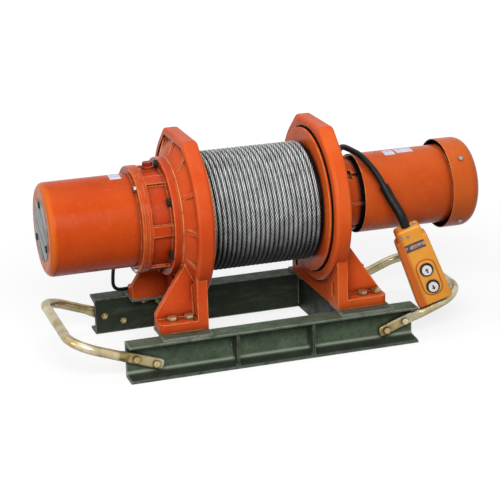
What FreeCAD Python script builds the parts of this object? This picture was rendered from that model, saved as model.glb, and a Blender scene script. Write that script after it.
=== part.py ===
import FreeCAD, Part
import collections
import math
import os

# Electric table winch. Millimetres, +Z up, +X from the brake to the motor, viewer on the -Y side.
# Every length along X is counted outwards from the middle of the rope drum.

# Clearances
joint_gap = 0.1         # one rigid piece let into another
slack = 0.25            # bolt in its hole
running = 0.05          # radial play of a turning fit

# Base of rolled channel
axis_z = 296.6          # height of the drum axis
channel_h = 80.0
channel_w = 45.5
web_t = 6.0
flange_root = 9.0
flange_tip = 5.5
root_round = 6.0
toe_round = 3.0
rail_back = 136.0       # web backs lie this far from the middle plane
rail_left = 323.5
rail_right = 314.5
rib_stations = (-91.0, 77.0)
rib_t = 6.0
rib_snipe = 26.0
pad_t = 5.0
pad_past = 2.0          # seat plate beyond the foot end and inside the foot
cross_left = 144.5      # drum middle to the web backs of the cross members
cross_right = 153.5
pad_cover = 40.0        # seat plate over the rail flange

# Carrying handles
tube_r = 10.5
handle_slope = math.radians(20.5)
handle_z = 49.5         # height of the leg axis at the rail end
handle_out = 114.5      # rail end to the crossbar axis
handle_in = 77.0        # rail end to the flattened tip
handle_bend = 55.0
flat_t = 9.0
flat_h = 25.0
tip_round = 9.0
blend_in = 6.0          # start of the round tube inside the rail end
blend_len = 26.0
handle_bolt_in = (20.0, 62.0)
handle_bolt_r = 4.0
handle_bolt_across = 13.0
handle_bolt_head = 6.0
handle_nut_h = 7.0
thread_past = 3.0       # thread that stands out of a nut

# Drum and rope
drum_half = 124.5       # half the length between the flanges
barrel_r = 84.4
barrel_bore = 75.0
flange_r = 156.5
flange_t = 9.5
drum_wall = 8.0
journal_r = 32.5
journal_bore = 27.0
rope_pack_r = 129.0
rope_end_gap = 0.5
rope_turns = 24
rope_groove = 3.6       # depth between neighbouring turns
rope_crown = 0.34       # share of a turn that lies at the full radius

# Cast brackets
collar_lap = 2.0        # collar over the edge of the drum flange
flange_gap = 10.0       # drum flange to the recess floor
flange_clear = 3.0      # round the drum flange
collar_wall = 20.5
collar_top = 173.4      # axis to the flattened top
collar_round = 8.0
rim_round = 6.0
peak_round = 22.0
shoulder = math.radians(50.0)
dish_t = 14.0           # web behind the recess
leg_t = 22.5
leg_y = 146.0
rim_t = 14.0
rib_w = 10.0
rib_drop = 3.0          # ribs below the edge of the rim
rib_angles = (0, 30, 60, 90, 120)
gear_foot_len = 103.0
motor_foot_len = 113.0
foot_t = 20.0
foot_y = 93.0
foot_round = 14.0
gusset_t = 14.0
gear_gusset_low = 31.0  # gusset height at the foot end
motor_gusset_low = 20.0
gusset_slope = math.radians(56.5)
gusset_round = 9.0
slot_r = 8.0
slot_len = 18.0
slot_gap = 9.0          # slot to the gusset and to the foot
gear_bolt_in = (34.5, 71.0)
motor_bolt_in = (67.0, 97.0)
foot_bolt_out = 13.0    # gusset to the bolt axis
foot_bolt_r = 6.0
foot_bolt_across = 19.0
foot_bolt_head = 8.0
foot_nut_h = 10.0
bearing_r = 60.0
bearing_w = 20.0
bearing_lip = 2.0       # recess floor to the bearing
bearing_shoulder = 8.0
gear_boss_h = 19.5      # rim to the gear housing
motor_boss_h = 7.5      # rim to the motor
motor_boss_r = 90.0
motor_boss_flare = 16.0
boss_edge = 3.0

# Planetary gears
module = 4.0
pressure = math.radians(25.0)
sun_teeth = 9
planet_teeth = 18
ring_teeth = 45
backlash = 0.5
ring_rim = 6.0
planet1_w = 20.0
planet2_w = 24.0
pin1_r = 8.0
pin2_r = 10.0
plate1_t = 10.0
plate2_t = 12.0
pin_rim = 22.0          # carrier plate beyond the pin axes
side_play = 1.0         # gears and plates to their neighbours along the axis
plate_play = 3.0

# Gear housing and brake
housing_wall = 6.0
housing_end = 5.0       # first planets to the end of the housing
big_flange_t = 16.0
big_flange_w = 20.0
small_flange_t = 9.0
small_flange_w = 8.0
flange_edge = 1.5       # broken edges along the joints of the castings
housing_rib_w = 24.0
housing_rib_h = 6.0
oil_boss_r = 13.0
oil_boss_h = 7.0
oil_plug_r = 7.0
oil_plug_across = 19.0
oil_plug_head = 8.0
housing_bolt_count = 6
housing_bolt_r = 5.0
housing_bolt_in = 11.0  # flange edge to the bolt axis
housing_bolt_across = 15.0
housing_bolt_head = 7.0
housing_bolt_len = 40.0
cover_screw_count = 3
cover_screw_turn = 38.0 # degrees from the top towards the viewer
cover_screw_r = 3.0
cover_screw_in = 6.0
cover_screw_across = 10.0
cover_screw_head = 5.0
cover_screw_len = 18.0
gear_cover_t = 8.0
cover_lip_t = 5.0
cover_len = 194.0       # gear cover to the end of the brake cover
cover_r = 99.0
cover_t = 3.0
cover_round = 14.0
plate_r = 66.5          # plate on the end of the brake cover
plate_t = 1.0
plate_screw_ring = 55.0
plate_screw_r = 2.5
plate_screw_head_r = 4.5
plate_screw_head = 3.0
friction_h = 16.5       # gear cover to the face that the brake disc is pressed against
friction_r = 58.0
brake_gap = 0.5         # on each side of the brake disc
brake_disc_r = 56.0
brake_disc_t = 10.0
armature_r = 60.0
armature_t = 6.5
release_gap = 1.0       # armature to the magnet
magnet_r = 62.0
magnet_len = 32.0
magnet_leg_ring = 71.0
magnet_leg_r = 7.0
spring_ring = 24.0
spring_r = 4.0
spring_wall = 1.4
spring_len = 15.8
shaft_past = 12.0       # shaft beyond the magnet

# Shaft and motor
motor_len = 327.0       # bracket to the end of the fan cover
shaft_r = 10.0
shaft_clear = 2.0
shaft_bearing_r = 23.5
shaft_bearing_w = 14.0
hub_r = 86.0
hub_lip_r = 88.0
hub_lip_t = 7.0
hub_len = 26.0
hub_taper = 40.0
hub_rib_w = 7.0
hub_rib_in = 4.0
hub_round = 4.0
motor_bolt_ring = 78.0
motor_bolt_r = 5.0
motor_bolt_across = 16.0
motor_bolt_head = 7.0
motor_bolt_len = 40.0
pocket_in = 6.0         # bolt pocket in the hub
pocket_half = 11.0
pocket_depth = 20.0
pocket_len = 18.0
frame_r = 76.0
frame_bore = 66.0
fin_r = 84.3
fin_w = 5.0
fin_in = 6.0
core_len = 100.0
rotor_r = 40.0
air_gap = 0.6
winding_len = 22.0
winding_r = (46.0, 62.0)
shroud_in = 33.0        # hub edge to the shroud
shroud_r = 86.5
shroud_t = 2.0
shroud_lap = 4.0        # shroud inside the fan cover
fan_cover_r = 99.0
fan_cover_len = 68.0
fan_cover_t = 2.0
fan_cover_round = 26.0
vent_count = 16
vent_w = 7.0
vent_r = (26.0, 67.0)
fan_r = 83.0
fan_w = 24.0
fan_gap = 19.0          # fan to the end of its cover
fan_hub_r = 17.0
fan_plate_t = 3.0
blade_count = 7
blade_t = 3.0
shield_gap = 15.0       # motor frame end to the fan cover edge
shield_t = 12.0
shield_boss_r = 34.0
shield_boss_h = 18.0
skirt_r = (62.0, 72.0)
stay_in = 21.0          # fan cover edge to the stay's crossing
stay_len = 14.0
stay_w = 16.0
stay_arm = 12.0
stay_clear = 4.0        # stays outside the fan
fan_screw_r = 2.5
fan_screw_head_r = 5.0
fan_screw_head = 3.0

# Terminal box and glands
box_in = 2.0            # bracket face of the motor to the box
box_len = 52.0
box_y = 134.0
box_root = 60.0
box_low = 34.6          # below the axis
box_high = 35.4
box_round = 4.0
gland_h = 26.0
gland_nut_h = 10.0
gland_back = 16.0       # box back to the axes of the lower glands
pendant_gland_in = 15.0 # box end to the axis
brake_gland_in = 12.0
pendant_gland_r = 12.0
brake_gland_r = 9.0
supply_gland_r = 12.0

# Hand control, standing on the front leg of the right handle
pendant_foot = 370.5    # leg station under the middle of its bottom
pendant_back = 4.0      # joint between its shells behind the leg axis
pendant_lift = 0.4      # bottom over the leg, clear of the handle bend
pendant_lean = math.radians(3.0)
pendant_yaw = math.radians(-12.6)
pendant_len = 181.5
pendant_low = 39.5
pendant_high = 35.0
pendant_neck = 28.5
pendant_round = 8.0
neck_start = 156.0
neck_step = 4.0
shell_depth = 20.0
shell_t = 3.0
shell_edge = 5.0        # rounded edge of the front
boss_t = 3.0
boss_rim = 3.0          # raised pad round the bezels
boss_round = 15.0
panel_off = 6.0         # buttons beside the middle
button_up_h = 82.0
button_pitch = 41.0
button_r = 10.6
button_out = 9.0
button_in = 9.0
button_gap = 0.3
button_travel = 4.0
stem_r = 5.0
stem_len = 5.0
bezel_r = 14.5
bezel_t = 4.0
contact_half = 16.0
contact_past = 18.0
contact_gap = 0.5
label_h = 140.0         # middle of the bare label plate
label_off = 2.0
label_len = 44.0
label_w = 17.0
label_t = 1.0
label_round = 2.5

# Cables
cable_r = 6.5
sleeve_r = 10.0
lead_r = 4.0
lead_past = 21.0        # stiffener to the bend of the lead
lead_gland_r = 7.0
lead_gland_out = 9.0    # brake lead's gland beyond the cover lip
coil_centre = (256.0, 272.0)
coil_mean_r = 71.5

# Places that follow from the sizes above
V = FreeCAD.Vector
drum_side = drum_half + flange_t
face_x = drum_side - collar_lap
recess_floor = drum_side + flange_gap
recess_r = flange_r + flange_clear
collar_r = recess_r + collar_wall
dish_out = recess_floor + dish_t
plate_x = recess_floor
rim_x = plate_x + leg_t
gear_face_x = rim_x + gear_boss_h
motor_face = rim_x + motor_boss_h
bearing_in = recess_floor + bearing_lip
bearing_out = bearing_in + bearing_w
foot_z = channel_h + pad_t
foot_bolt_y = foot_y + gusset_t + foot_bolt_out
Foot = collections.namedtuple("Foot", "end low bolts cross")
gear_foot = Foot(plate_x + gear_foot_len, gear_gusset_low, [plate_x + inset for inset in gear_bolt_in],
                 cross_left)
motor_foot = Foot(plate_x + motor_foot_len, motor_gusset_low, [plate_x + inset for inset in motor_bolt_in],
                  cross_right)

arm = module * (sun_teeth + planet_teeth) / 2
ring_r = module * (ring_teeth / 2 + 1) + ring_rim
planet2_in = gear_face_x + side_play
planet2_out = planet2_in + planet2_w
plate1_in = planet2_out + side_play + plate_play
plate1_out = plate1_in + plate1_t
planet1_in = plate1_out + plate_play
planet1_out = planet1_in + planet1_w
plate2_out = gear_face_x - 2 * side_play
plate2_in = plate2_out - plate2_t

body_r = ring_r + housing_wall
big_flange_r = body_r + big_flange_w
small_flange_r = body_r + small_flange_w
housing_out = planet1_out + housing_end
big_flange_out = gear_face_x + big_flange_t
small_flange_in = housing_out - small_flange_t
housing_bolt_ring = big_flange_r - housing_bolt_in
cover_screw_ring = small_flange_r - cover_screw_in
gear_cover_out = housing_out + gear_cover_t
cover_lip_out = gear_cover_out + cover_lip_t
cover_end = gear_cover_out + cover_len
friction_x = gear_cover_out + friction_h
brake_disc_x = friction_x + brake_gap
armature_x = brake_disc_x + brake_disc_t + brake_gap
magnet_x = armature_x + armature_t + release_gap
magnet_end = magnet_x + magnet_len

right_reach = motor_face + motor_len
left_reach = max(rail_left + handle_out + tube_r, cover_end + plate_t + plate_screw_head)
drum_x = (left_reach - right_reach) / 2
hub_edge = motor_face + hub_len
hub_end = hub_edge + hub_taper
shroud_x = hub_edge + shroud_in
fan_cover_x = right_reach - fan_cover_len
frame_end = fan_cover_x - shield_gap
core_mid = (hub_end + frame_end) / 2
core_x = (core_mid - core_len / 2, core_mid + core_len / 2)
fan_end = right_reach - fan_cover_t - fan_gap
fan_start = fan_end - fan_w
stay_x = (fan_cover_x + stay_in, fan_cover_x + stay_in + stay_len)
stay_mid = fan_cover_x + stay_in + stay_len / 2
box_x = (motor_face + box_in, motor_face + box_in + box_len)
box_z = (axis_z - box_low, axis_z + box_high)
pendant_gland = V(box_x[1] - pendant_gland_in, box_y - gland_back, box_z[0])
brake_gland = V(box_x[0] + brake_gland_in, box_y - gland_back, box_z[0])

os.makedirs("parts", exist_ok=True)


def save(name, *solids):
    shape = solids[0] if len(solids) == 1 else Part.makeCompound(list(solids))
    shape = shape.copy()
    shape.translate(V(drum_x, 0, 0))
    shape.exportStep("parts/" + name + ".step")


def disc(x0, x1, radius):
    low, high = sorted((x0, x1))
    return Part.makeCylinder(radius, high - low, V(low, 0, axis_z), V(1, 0, 0))


def ring(x0, x1, outer, inner):
    return disc(x0, x1, outer).cut(disc(x0, x1, inner))


def block(x0, x1, y0, y1, z0, z1):
    return Part.makeBox(abs(x1 - x0), abs(y1 - y0), abs(z1 - z0), V(min(x0, x1), min(y0, y1), min(z0, z1)))


def rod(start, end, radius):
    along = end - start
    return Part.makeCylinder(radius, along.Length, start, along)


def fused(first, *others):
    return first.fuse(list(others)).removeSplitter()


def mirrored_x(shape):
    return shape.mirror(V(0, 0, 0), V(1, 0, 0))


def turned(shape, degrees):
    """Copy turned about the drum axis."""
    copy = shape.copy()
    copy.rotate(V(0, 0, axis_z), V(1, 0, 0), degrees)
    return copy


def ringed(shape, count, start=0.0):
    """Copies spaced evenly about the drum axis."""
    return [turned(shape, start + 360 / count * k) for k in range(count)]


def bowed(start, middle, end):
    """Edge through three points: an arc, or a straight edge where they lie in line."""
    if (middle - start).cross(end - middle).Length < 1e-6:
        return Part.LineSegment(start, end).toShape()
    return Part.Arc(start, middle, end).toShape()


def face_of(corners, place):
    """Flat face through (a, b) or rounded (a, b, radius) corners; place gives the point in space."""
    count = len(corners)
    stops = []
    for index, corner in enumerate(corners):
        here = V(corner[0], corner[1], 0)
        if len(corner) == 2:
            stops.append((here, None, here))
            continue
        back = V(corners[index - 1][0], corners[index - 1][1], 0) - here
        ahead = V(corners[(index + 1) % count][0], corners[(index + 1) % count][1], 0) - here
        half = back.getAngle(ahead) / 2
        back.normalize()
        ahead.normalize()
        middle = back + ahead
        middle.normalize()
        reach = corner[2] / math.tan(half)
        crown = here + middle * (corner[2] / math.sin(half) - corner[2])
        stops.append((here + back * reach, crown, here + ahead * reach))
    edges = []
    for index, (entry, crown, leave) in enumerate(stops):
        if crown is not None:
            edges.append(Part.Arc(place(entry), place(crown), place(leave)).toShape())
        following = stops[(index + 1) % count][0]
        if leave.distanceToPoint(following) > 1e-6:
            edges.append(Part.LineSegment(place(leave), place(following)).toShape())
    return Part.Face(Part.Wire(edges))


def lathe(corners):
    """Solid of revolution about the drum axis from (x, radius) corners."""
    face = face_of(corners, lambda p: V(p.x, 0, axis_z + p.y))
    return face.revolve(V(0, 0, axis_z), V(1, 0, 0), 360)


def hexagon(centre, along, across, height):
    """Six-sided head or nut standing on centre along a direction."""
    corner = across / math.sqrt(3)
    points = [V(corner * math.cos(k * math.pi / 3), corner * math.sin(k * math.pi / 3), 0) for k in range(7)]
    solid = Part.Face(Part.makePolygon(points)).extrude(V(0, 0, height))
    solid.Placement = FreeCAD.Placement(centre, FreeCAD.Rotation(V(0, 0, 1), along))
    return solid


def bolt(seat, along, radius, across, head, length):
    """Hex bolt whose head stands on seat; its shank runs the other way."""
    shank = rod(seat, seat - along * length, radius)
    return fused(hexagon(seat, along, across, head), shank)


def nut(seat, along, radius, across, height):
    hole = rod(seat - along, seat + along * (height + 1), radius + joint_gap)
    return hexagon(seat, along, across, height).cut(hole)


def cord(points, radius):
    """Round cord along straight runs joined by tangent arcs; returns the solid, its length and arc radii."""
    edges = []
    radii = []
    last = points[0]
    for before, here, after in zip(points, points[1:], points[2:]):
        back = before - here
        ahead = after - here
        reach = 0.45 * min(back.Length, ahead.Length)
        half = back.getAngle(ahead) / 2
        bend = reach * math.tan(half)
        back.normalize()
        ahead.normalize()
        middle = back + ahead
        middle.normalize()
        entry = here + back * reach
        leave = here + ahead * reach
        crown = here + middle * (bend / math.sin(half) - bend)
        edges.append(Part.LineSegment(last, entry).toShape())
        edges.append(Part.Arc(entry, crown, leave).toShape())
        radii.append(bend)
        last = leave
    edges.append(Part.LineSegment(last, points[-1]).toShape())
    path = Part.Wire(edges)
    section = Part.Wire(Part.makeCircle(radius, points[0], points[1] - points[0]))
    return path.makePipeShell([section], True, True), path.Length, radii


def save_cord(name, points, radius):
    solid, length, radii = cord(points, radius)
    share = solid.Volume / (math.pi * radius ** 2 * length)
    print(name, "length %.0f" % length, "least bend %.1f" % min(radii), "volume ratio %.4f" % share)
    save(name, solid)


def channel_face(place):
    """Rolled channel section; place takes (distance from the web back, height)."""
    top = channel_h
    corners = [
        (0, 0),
        (channel_w, 0),
        (channel_w, flange_tip, toe_round),
        (web_t, flange_root, root_round),
        (web_t, top - flange_root, root_round),
        (channel_w, top - flange_tip, toe_round),
        (channel_w, top),
        (0, top),
    ]
    return face_of(corners, place)


def flange_thickness(from_back):
    slope = (flange_root - flange_tip) / (channel_w - web_t)
    return flange_tip + slope * (channel_w - from_back)


def leg_height(station, rail_end):
    """Height of a handle leg's axis at a distance along X from the drum middle."""
    return handle_z + (station - rail_end) * math.tan(handle_slope)


def handle_bolt_places(rail_end):
    stations = [rail_end - inset for inset in handle_bolt_in]
    return [(station, leg_height(station, rail_end)) for station in stations]


def make_rail(side):
    """Long rail with its flanges turned outwards; side is -1 in front and 1 behind."""
    face = channel_face(lambda p: V(-rail_left, side * (rail_back + p.x), p.y))
    rail = face.extrude(V(rail_left + rail_right, 0, 0))
    for sign, rail_end in ((-1, rail_left), (1, rail_right)):
        for station, height in handle_bolt_places(rail_end):
            start = V(sign * station, side * (rail_back - 1), height)
            rail = rail.cut(rod(start, start + V(0, side * (web_t + 2), 0), handle_bolt_r + slack))
    return rail


def make_rib(station, side):
    """Stiffener across the channel, snipped at the web corners."""
    snipe = web_t + rib_snipe
    out = channel_w - toe_round
    low_in = flange_thickness(snipe)
    low_out = flange_thickness(out)
    corners = [
        (snipe, low_in),
        (out, low_out),
        (out, channel_h - low_out),
        (snipe, channel_h - low_in),
        (web_t, channel_h - flange_root - rib_snipe),
        (web_t, flange_root + rib_snipe),
    ]
    face = face_of(corners, lambda p: V(station - rib_t / 2, side * (rail_back + p.x), p.y))
    return face.extrude(V(rib_t, 0, 0))


def make_cross_member(foot):
    face = channel_face(lambda p: V(foot.cross + p.x, -rail_back, p.y))
    member = face.extrude(V(0, 2 * rail_back, 0))
    for side in (-1, 1):
        for station in foot.bolts:
            top = V(station, side * foot_bolt_y, channel_h + 1)
            member = member.cut(rod(top, top - V(0, 0, 2 * flange_root), foot_bolt_r + slack))
    return member


def make_pad(side, foot):
    """Seat plate between one foot and the base."""
    inner = foot_y - pad_past
    outer = rail_back + pad_cover
    pad = block(min(foot.cross, plate_x), foot.end + pad_past, side * inner, side * outer, channel_h, foot_z)
    for station in foot.bolts:
        low = V(station, side * foot_bolt_y, channel_h - 1)
        pad = pad.cut(rod(low, low + V(0, 0, pad_t + 2), foot_bolt_r + slack))
    return pad


def leg_section(centre, rise, half_y, half_up):
    """Section square to a handle leg: round, or flattened with round edges."""
    corner_y = half_y
    corner_up = half_up - half_y
    if half_y == half_up:
        corner_y = half_y * math.sqrt(0.5)
        corner_up = corner_y
    side = V(0, 1, 0)
    low_in = centre - side * corner_y - rise * corner_up
    low_out = centre + side * corner_y - rise * corner_up
    high_in = centre - side * corner_y + rise * corner_up
    high_out = centre + side * corner_y + rise * corner_up
    return Part.Wire([
        bowed(low_in, centre - rise * half_up, low_out),
        bowed(low_out, centre + side * half_y, high_out),
        bowed(high_out, centre + rise * half_up, high_in),
        bowed(high_in, centre - side * half_y, low_in),
    ])


def tip_trim(tip, out, rise):
    """Prism that rounds the corners of a flattened tip."""
    half = flat_h / 2
    corners = [(0, -half, tip_round), (0, half, tip_round), (2 * handle_in, half), (2 * handle_in, -half)]
    face = face_of(corners, lambda p: tip + out * p.x + rise * p.y - V(0, flat_t, 0))
    return face.extrude(V(0, 2 * flat_t, 0))


def make_handle(rail_end):
    """Bent tube with flattened tips that lie against the rail webs."""
    out = V(math.cos(handle_slope), 0, math.sin(handle_slope))
    rise = V(-out.z, 0, out.x)
    root = V(rail_end, 0, handle_z)
    web = rail_back + web_t
    axis_y = web + tube_r
    blend_start = root - out * blend_in
    blend_end = blend_start + out * blend_len
    tips = []
    for side in (-1, 1):
        flat_mid = V(0, side * (web + flat_t / 2), 0)
        tube_mid = V(0, side * axis_y, 0)
        tip = root - out * (handle_in / out.x) + flat_mid
        flat = Part.Face(leg_section(tip, rise, flat_t / 2, flat_h / 2)).extrude(blend_start + flat_mid - tip)
        tips.append(flat.common(tip_trim(tip, out, rise)))
        first = leg_section(blend_start + flat_mid, rise, flat_t / 2, flat_h / 2)
        second = leg_section(blend_end + tube_mid, rise, tube_r, tube_r)
        tips.append(Part.makeLoft([first, second], True, False))
    crossbar = root + out * (handle_out / out.x)
    leg_end = crossbar - out * handle_bend
    turn = handle_bend * (1 - math.sqrt(0.5))
    crown = crossbar - out * turn
    front = V(0, -axis_y, 0)
    rear = V(0, axis_y, 0)
    bar_front = crossbar + V(0, handle_bend - axis_y, 0)
    bar_rear = crossbar + V(0, axis_y - handle_bend, 0)
    edges = [
        Part.LineSegment(blend_end + front, leg_end + front),
        Part.Arc(leg_end + front, crown + front + V(0, turn, 0), bar_front),
        Part.LineSegment(bar_front, bar_rear),
        Part.Arc(bar_rear, crown + rear - V(0, turn, 0), leg_end + rear),
        Part.LineSegment(leg_end + rear, blend_end + rear),
    ]
    section = Part.Wire(Part.makeCircle(tube_r, blend_end + front, out))
    bow = Part.Wire([edge.toShape() for edge in edges]).makePipeShell([section], True, True)
    handle = fused(bow, *tips)
    for side in (-1, 1):
        for station, height in handle_bolt_places(rail_end):
            start = V(station, side * (web - 1), height)
            handle = handle.cut(rod(start, start + V(0, side * (flat_t + 2), 0), handle_bolt_r + slack))
    return handle


def make_handle_bolts(sign, rail_end):
    """Bolts through the flattened tips and the webs, with their nuts inside the rails."""
    length = flat_t + web_t + handle_nut_h + thread_past
    solids = []
    for side in (-1, 1):
        for station, height in handle_bolt_places(rail_end):
            outside = V(sign * station, side * (rail_back + web_t + flat_t), height)
            solids.append(bolt(outside, V(0, side, 0), handle_bolt_r, handle_bolt_across,
                               handle_bolt_head, length))
            inside = V(sign * station, side * rail_back, height)
            solids.append(nut(inside, V(0, -side, 0), handle_bolt_r, handle_bolt_across, handle_nut_h))
    return solids


def collar_wire(x, inset):
    """Round collar with a flattened top, sloping shoulders and eased corners between them."""
    radius = collar_r - inset
    top = axis_z + collar_top - inset
    half = (radius - (top - axis_z) * math.sin(shoulder)) / math.cos(shoulder)
    y = radius * math.cos(shoulder)
    z = axis_z + radius * math.sin(shoulder)
    slope = math.pi / 2 - shoulder
    ease = peak_round * math.tan(slope / 2)
    drop = peak_round * (1 - math.cos(slope / 2))
    shift = peak_round * math.sin(slope / 2)
    points = []
    for side in (-1, 1):
        flat_end = V(x, side * (half - ease), top)
        crown = V(x, side * (half - ease + shift), top - drop)
        slope_end = V(x, side * (half + ease * math.cos(slope)), top - ease * math.sin(slope))
        points.append((flat_end, crown, slope_end, V(x, side * y, z)))
    front, rear = points
    edges = [
        Part.Arc(rear[3], V(x, 0, axis_z - radius), front[3]),
        Part.LineSegment(front[3], front[2]),
        Part.Arc(front[2], front[1], front[0]),
        Part.LineSegment(front[0], rear[0]),
        Part.Arc(rear[0], rear[1], rear[2]),
        Part.LineSegment(rear[2], rear[3]),
    ]
    return Part.Wire([edge.toShape() for edge in edges])


def collar(x0, x1, inset):
    return Part.Face(collar_wire(x0, inset)).extrude(V(x1 - x0, 0, 0))


def softened(solid, x, radius):
    """Round the edges that lie wholly in the plane at x."""
    edges = [e for e in solid.Edges if abs(e.BoundBox.XMin - x) < 1e-3 and abs(e.BoundBox.XMax - x) < 1e-3]
    return solid.makeFillet(radius, edges)


def make_gusset(side, foot):
    low_end = foot_z + foot.low
    head_z = low_end + (foot.end - rim_x) * math.tan(gusset_slope)
    corners = [(plate_x, foot_z), (foot.end, foot_z), (foot.end, low_end, gusset_round), (rim_x, head_z),
               (plate_x, head_z)]
    return face_of(corners, lambda p: V(p.x, side * foot_y, p.y)).extrude(V(0, side * gusset_t, 0))


def make_foot(side, foot):
    corners = [(plate_x, foot_y), (foot.end, foot_y), (foot.end, leg_y, foot_round), (plate_x, leg_y)]
    return face_of(corners, lambda p: V(p.x, side * p.y, foot_z)).extrude(V(0, 0, foot_t))


def leg_slot(side):
    """Upright slot through one leg, between the gusset and the outer edge."""
    y = side * (foot_y + gusset_t + slot_gap)
    low = foot_z + foot_t + slot_gap
    window = block(plate_x - 1, rim_x + 1, y - slot_r, y + slot_r, low, low + slot_len)
    for height in (low, low + slot_len):
        end = V(plate_x - 1, y, height)
        window = window.fuse(rod(end, end + V(leg_t + 2, 0, 0), slot_r))
    return window


def make_rib_wedge(boss_r, boss_x):
    """Rib over the web from the rim to the boss, its back falling with the web."""
    root = collar_r - rim_t + 2
    corners = [(dish_out - 2, boss_r - 2), (dish_out - 2, root), (rim_x - rib_drop, root),
               (boss_x - boss_edge, boss_r - 2)]
    return face_of(corners, lambda p: V(p.x, -rib_w / 2, axis_z + p.y)).extrude(V(0, rib_w, 0))


def make_bracket(boss_r, boss_x, web_r, foot):
    """Cast bearing bracket for the +X side: collar, dished web, legs, gussets and feet."""
    upright = softened(softened(collar(face_x, rim_x, 0), face_x, collar_round), rim_x, rim_round)
    upright = fused(upright, block(plate_x, rim_x, -leg_y, leg_y, foot_z, axis_z))
    upright = upright.cut(disc(face_x - 1, recess_floor, recess_r))
    upright = upright.cut(collar(dish_out, rim_x + 1, rim_t))
    rib = make_rib_wedge(boss_r, boss_x)
    both_sides = sorted({side * angle for angle in rib_angles for side in (-1, 1)})
    ribs = [turned(rib, turn) for turn in both_sides]
    bore = bearing_r - bearing_shoulder
    boss = lathe([(recess_floor, bore), (recess_floor, web_r), (dish_out, web_r),
                  (boss_x - boss_edge, boss_r), (boss_x, boss_r, flange_edge), (boss_x, bore)])
    walls = [make(side, foot) for side in (-1, 1) for make in (make_gusset, make_foot)]
    bracket = fused(upright, boss, *ribs, *walls)
    for side in (-1, 1):
        for station in foot.bolts:
            low = V(station, side * foot_bolt_y, foot_z - 1)
            bracket = bracket.cut(rod(low, low + V(0, 0, foot_t + 2), foot_bolt_r + slack))
        bracket = bracket.cut(leg_slot(side))
    bracket = bracket.cut(disc(recess_floor - 1, boss_x + 1, bore))
    return bracket.cut(disc(bearing_in, boss_x + 1, bearing_r + joint_gap))


def make_foot_bolts(sign, foot):
    solids = []
    corner = foot_bolt_across / math.sqrt(3)
    for side in (-1, 1):
        for station in foot.bolts:
            seat = V(sign * station, side * foot_bolt_y, foot_z + foot_t)
            inset = station - foot.cross
            through = flange_thickness(inset - corner) if inset - corner < channel_w else 0.0
            length = foot_t + pad_t + through + foot_nut_h + thread_past
            solids.append(bolt(seat, V(0, 0, 1), foot_bolt_r, foot_bolt_across, foot_bolt_head, length))
            under = V(sign * station, side * foot_bolt_y, channel_h - through)
            solids.append(nut(under, V(0, 0, -1), foot_bolt_r, foot_bolt_across, foot_nut_h))
    return solids


def round_bolts(count, start, circle, x, along, radius, across, head, length):
    """Ring of hex bolts about the drum axis; heads stand on x and point along X."""
    first = bolt(V(x, 0, axis_z + circle), V(along, 0, 0), radius, across, head, length)
    return ringed(first, count, start)


def round_holes(solid, count, start, circle, x0, x1, radius):
    hole = Part.makeCylinder(radius, abs(x1 - x0), V(min(x0, x1), 0, axis_z + circle), V(1, 0, 0))
    return solid.cut(ringed(hole, count, start))


def tooth_half(radius, pitch_r, thickness):
    """Half the angle of an involute tooth at a radius."""
    base = pitch_r * math.cos(pressure)
    angle = math.acos(min(1.0, base / radius))
    rolled = math.tan(pressure) - pressure - math.tan(angle) + angle
    return thickness / (2 * pitch_r) + rolled


def gear_face(teeth, inner, outer, thickness, phase, x, y, z):
    """Toothed outline with one tooth centred at phase, counted from +Y towards +Z."""
    pitch_r = module * teeth / 2
    levels = [inner, (inner + outer) / 2, outer]
    flank = [(r, tooth_half(r, pitch_r, thickness)) for r in levels]
    points = []
    for tooth in range(teeth):
        middle = phase + 2 * math.pi * tooth / teeth
        for r, half in flank:
            points.append(V(x, y + r * math.cos(middle - half), z + r * math.sin(middle - half)))
        for r, half in reversed(flank):
            points.append(V(x, y + r * math.cos(middle + half), z + r * math.sin(middle + half)))
    return Part.Face(Part.makePolygon(points + [points[0]]))


def gear(teeth, x0, x1, phase, y=0.0, z=axis_z):
    pitch_r = module * teeth / 2
    thickness = math.pi * module / 2 - backlash
    face = gear_face(teeth, pitch_r - module, pitch_r + 0.75 * module, thickness, phase, x0, y, z)
    return face.extrude(V(x1 - x0, 0, 0))


def make_ring_gear(x0, x1):
    pitch_r = module * ring_teeth / 2
    space = math.pi * module / 2 + backlash
    face = gear_face(ring_teeth, pitch_r - 0.7 * module, pitch_r + module, space,
                     math.pi / ring_teeth, x0 - 1, 0, axis_z)
    return disc(x0, x1, ring_r).cut(face.extrude(V(x1 - x0 + 2, 0, 0)))


def planet_places():
    angles = [2 * math.pi * k / 3 for k in range(3)]
    return [(a, arm * math.cos(a), axis_z + arm * math.sin(a)) for a in angles]


def save_planets(stage, x0, x1, pin_r):
    for letter, (angle, y, z) in zip("abc", planet_places()):
        wheel = gear(planet_teeth, x0, x1, angle + math.pi / planet_teeth, y, z)
        bore = rod(V(x0 - 1, y, z), V(x1 + 1, y, z), pin_r + running)
        save("planet_" + stage + letter, wheel.cut(bore))


def make_carrier(plate_in, plate_out, pin_end, pin_r):
    """Three-pin carrier: its plate and the pins that carry the planets."""
    pins = [rod(V(-plate_in, y, z), V(-pin_end, y, z), pin_r) for angle, y, z in planet_places()]
    return fused(disc(-plate_in, -plate_out, arm + pin_rim), *pins)


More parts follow.
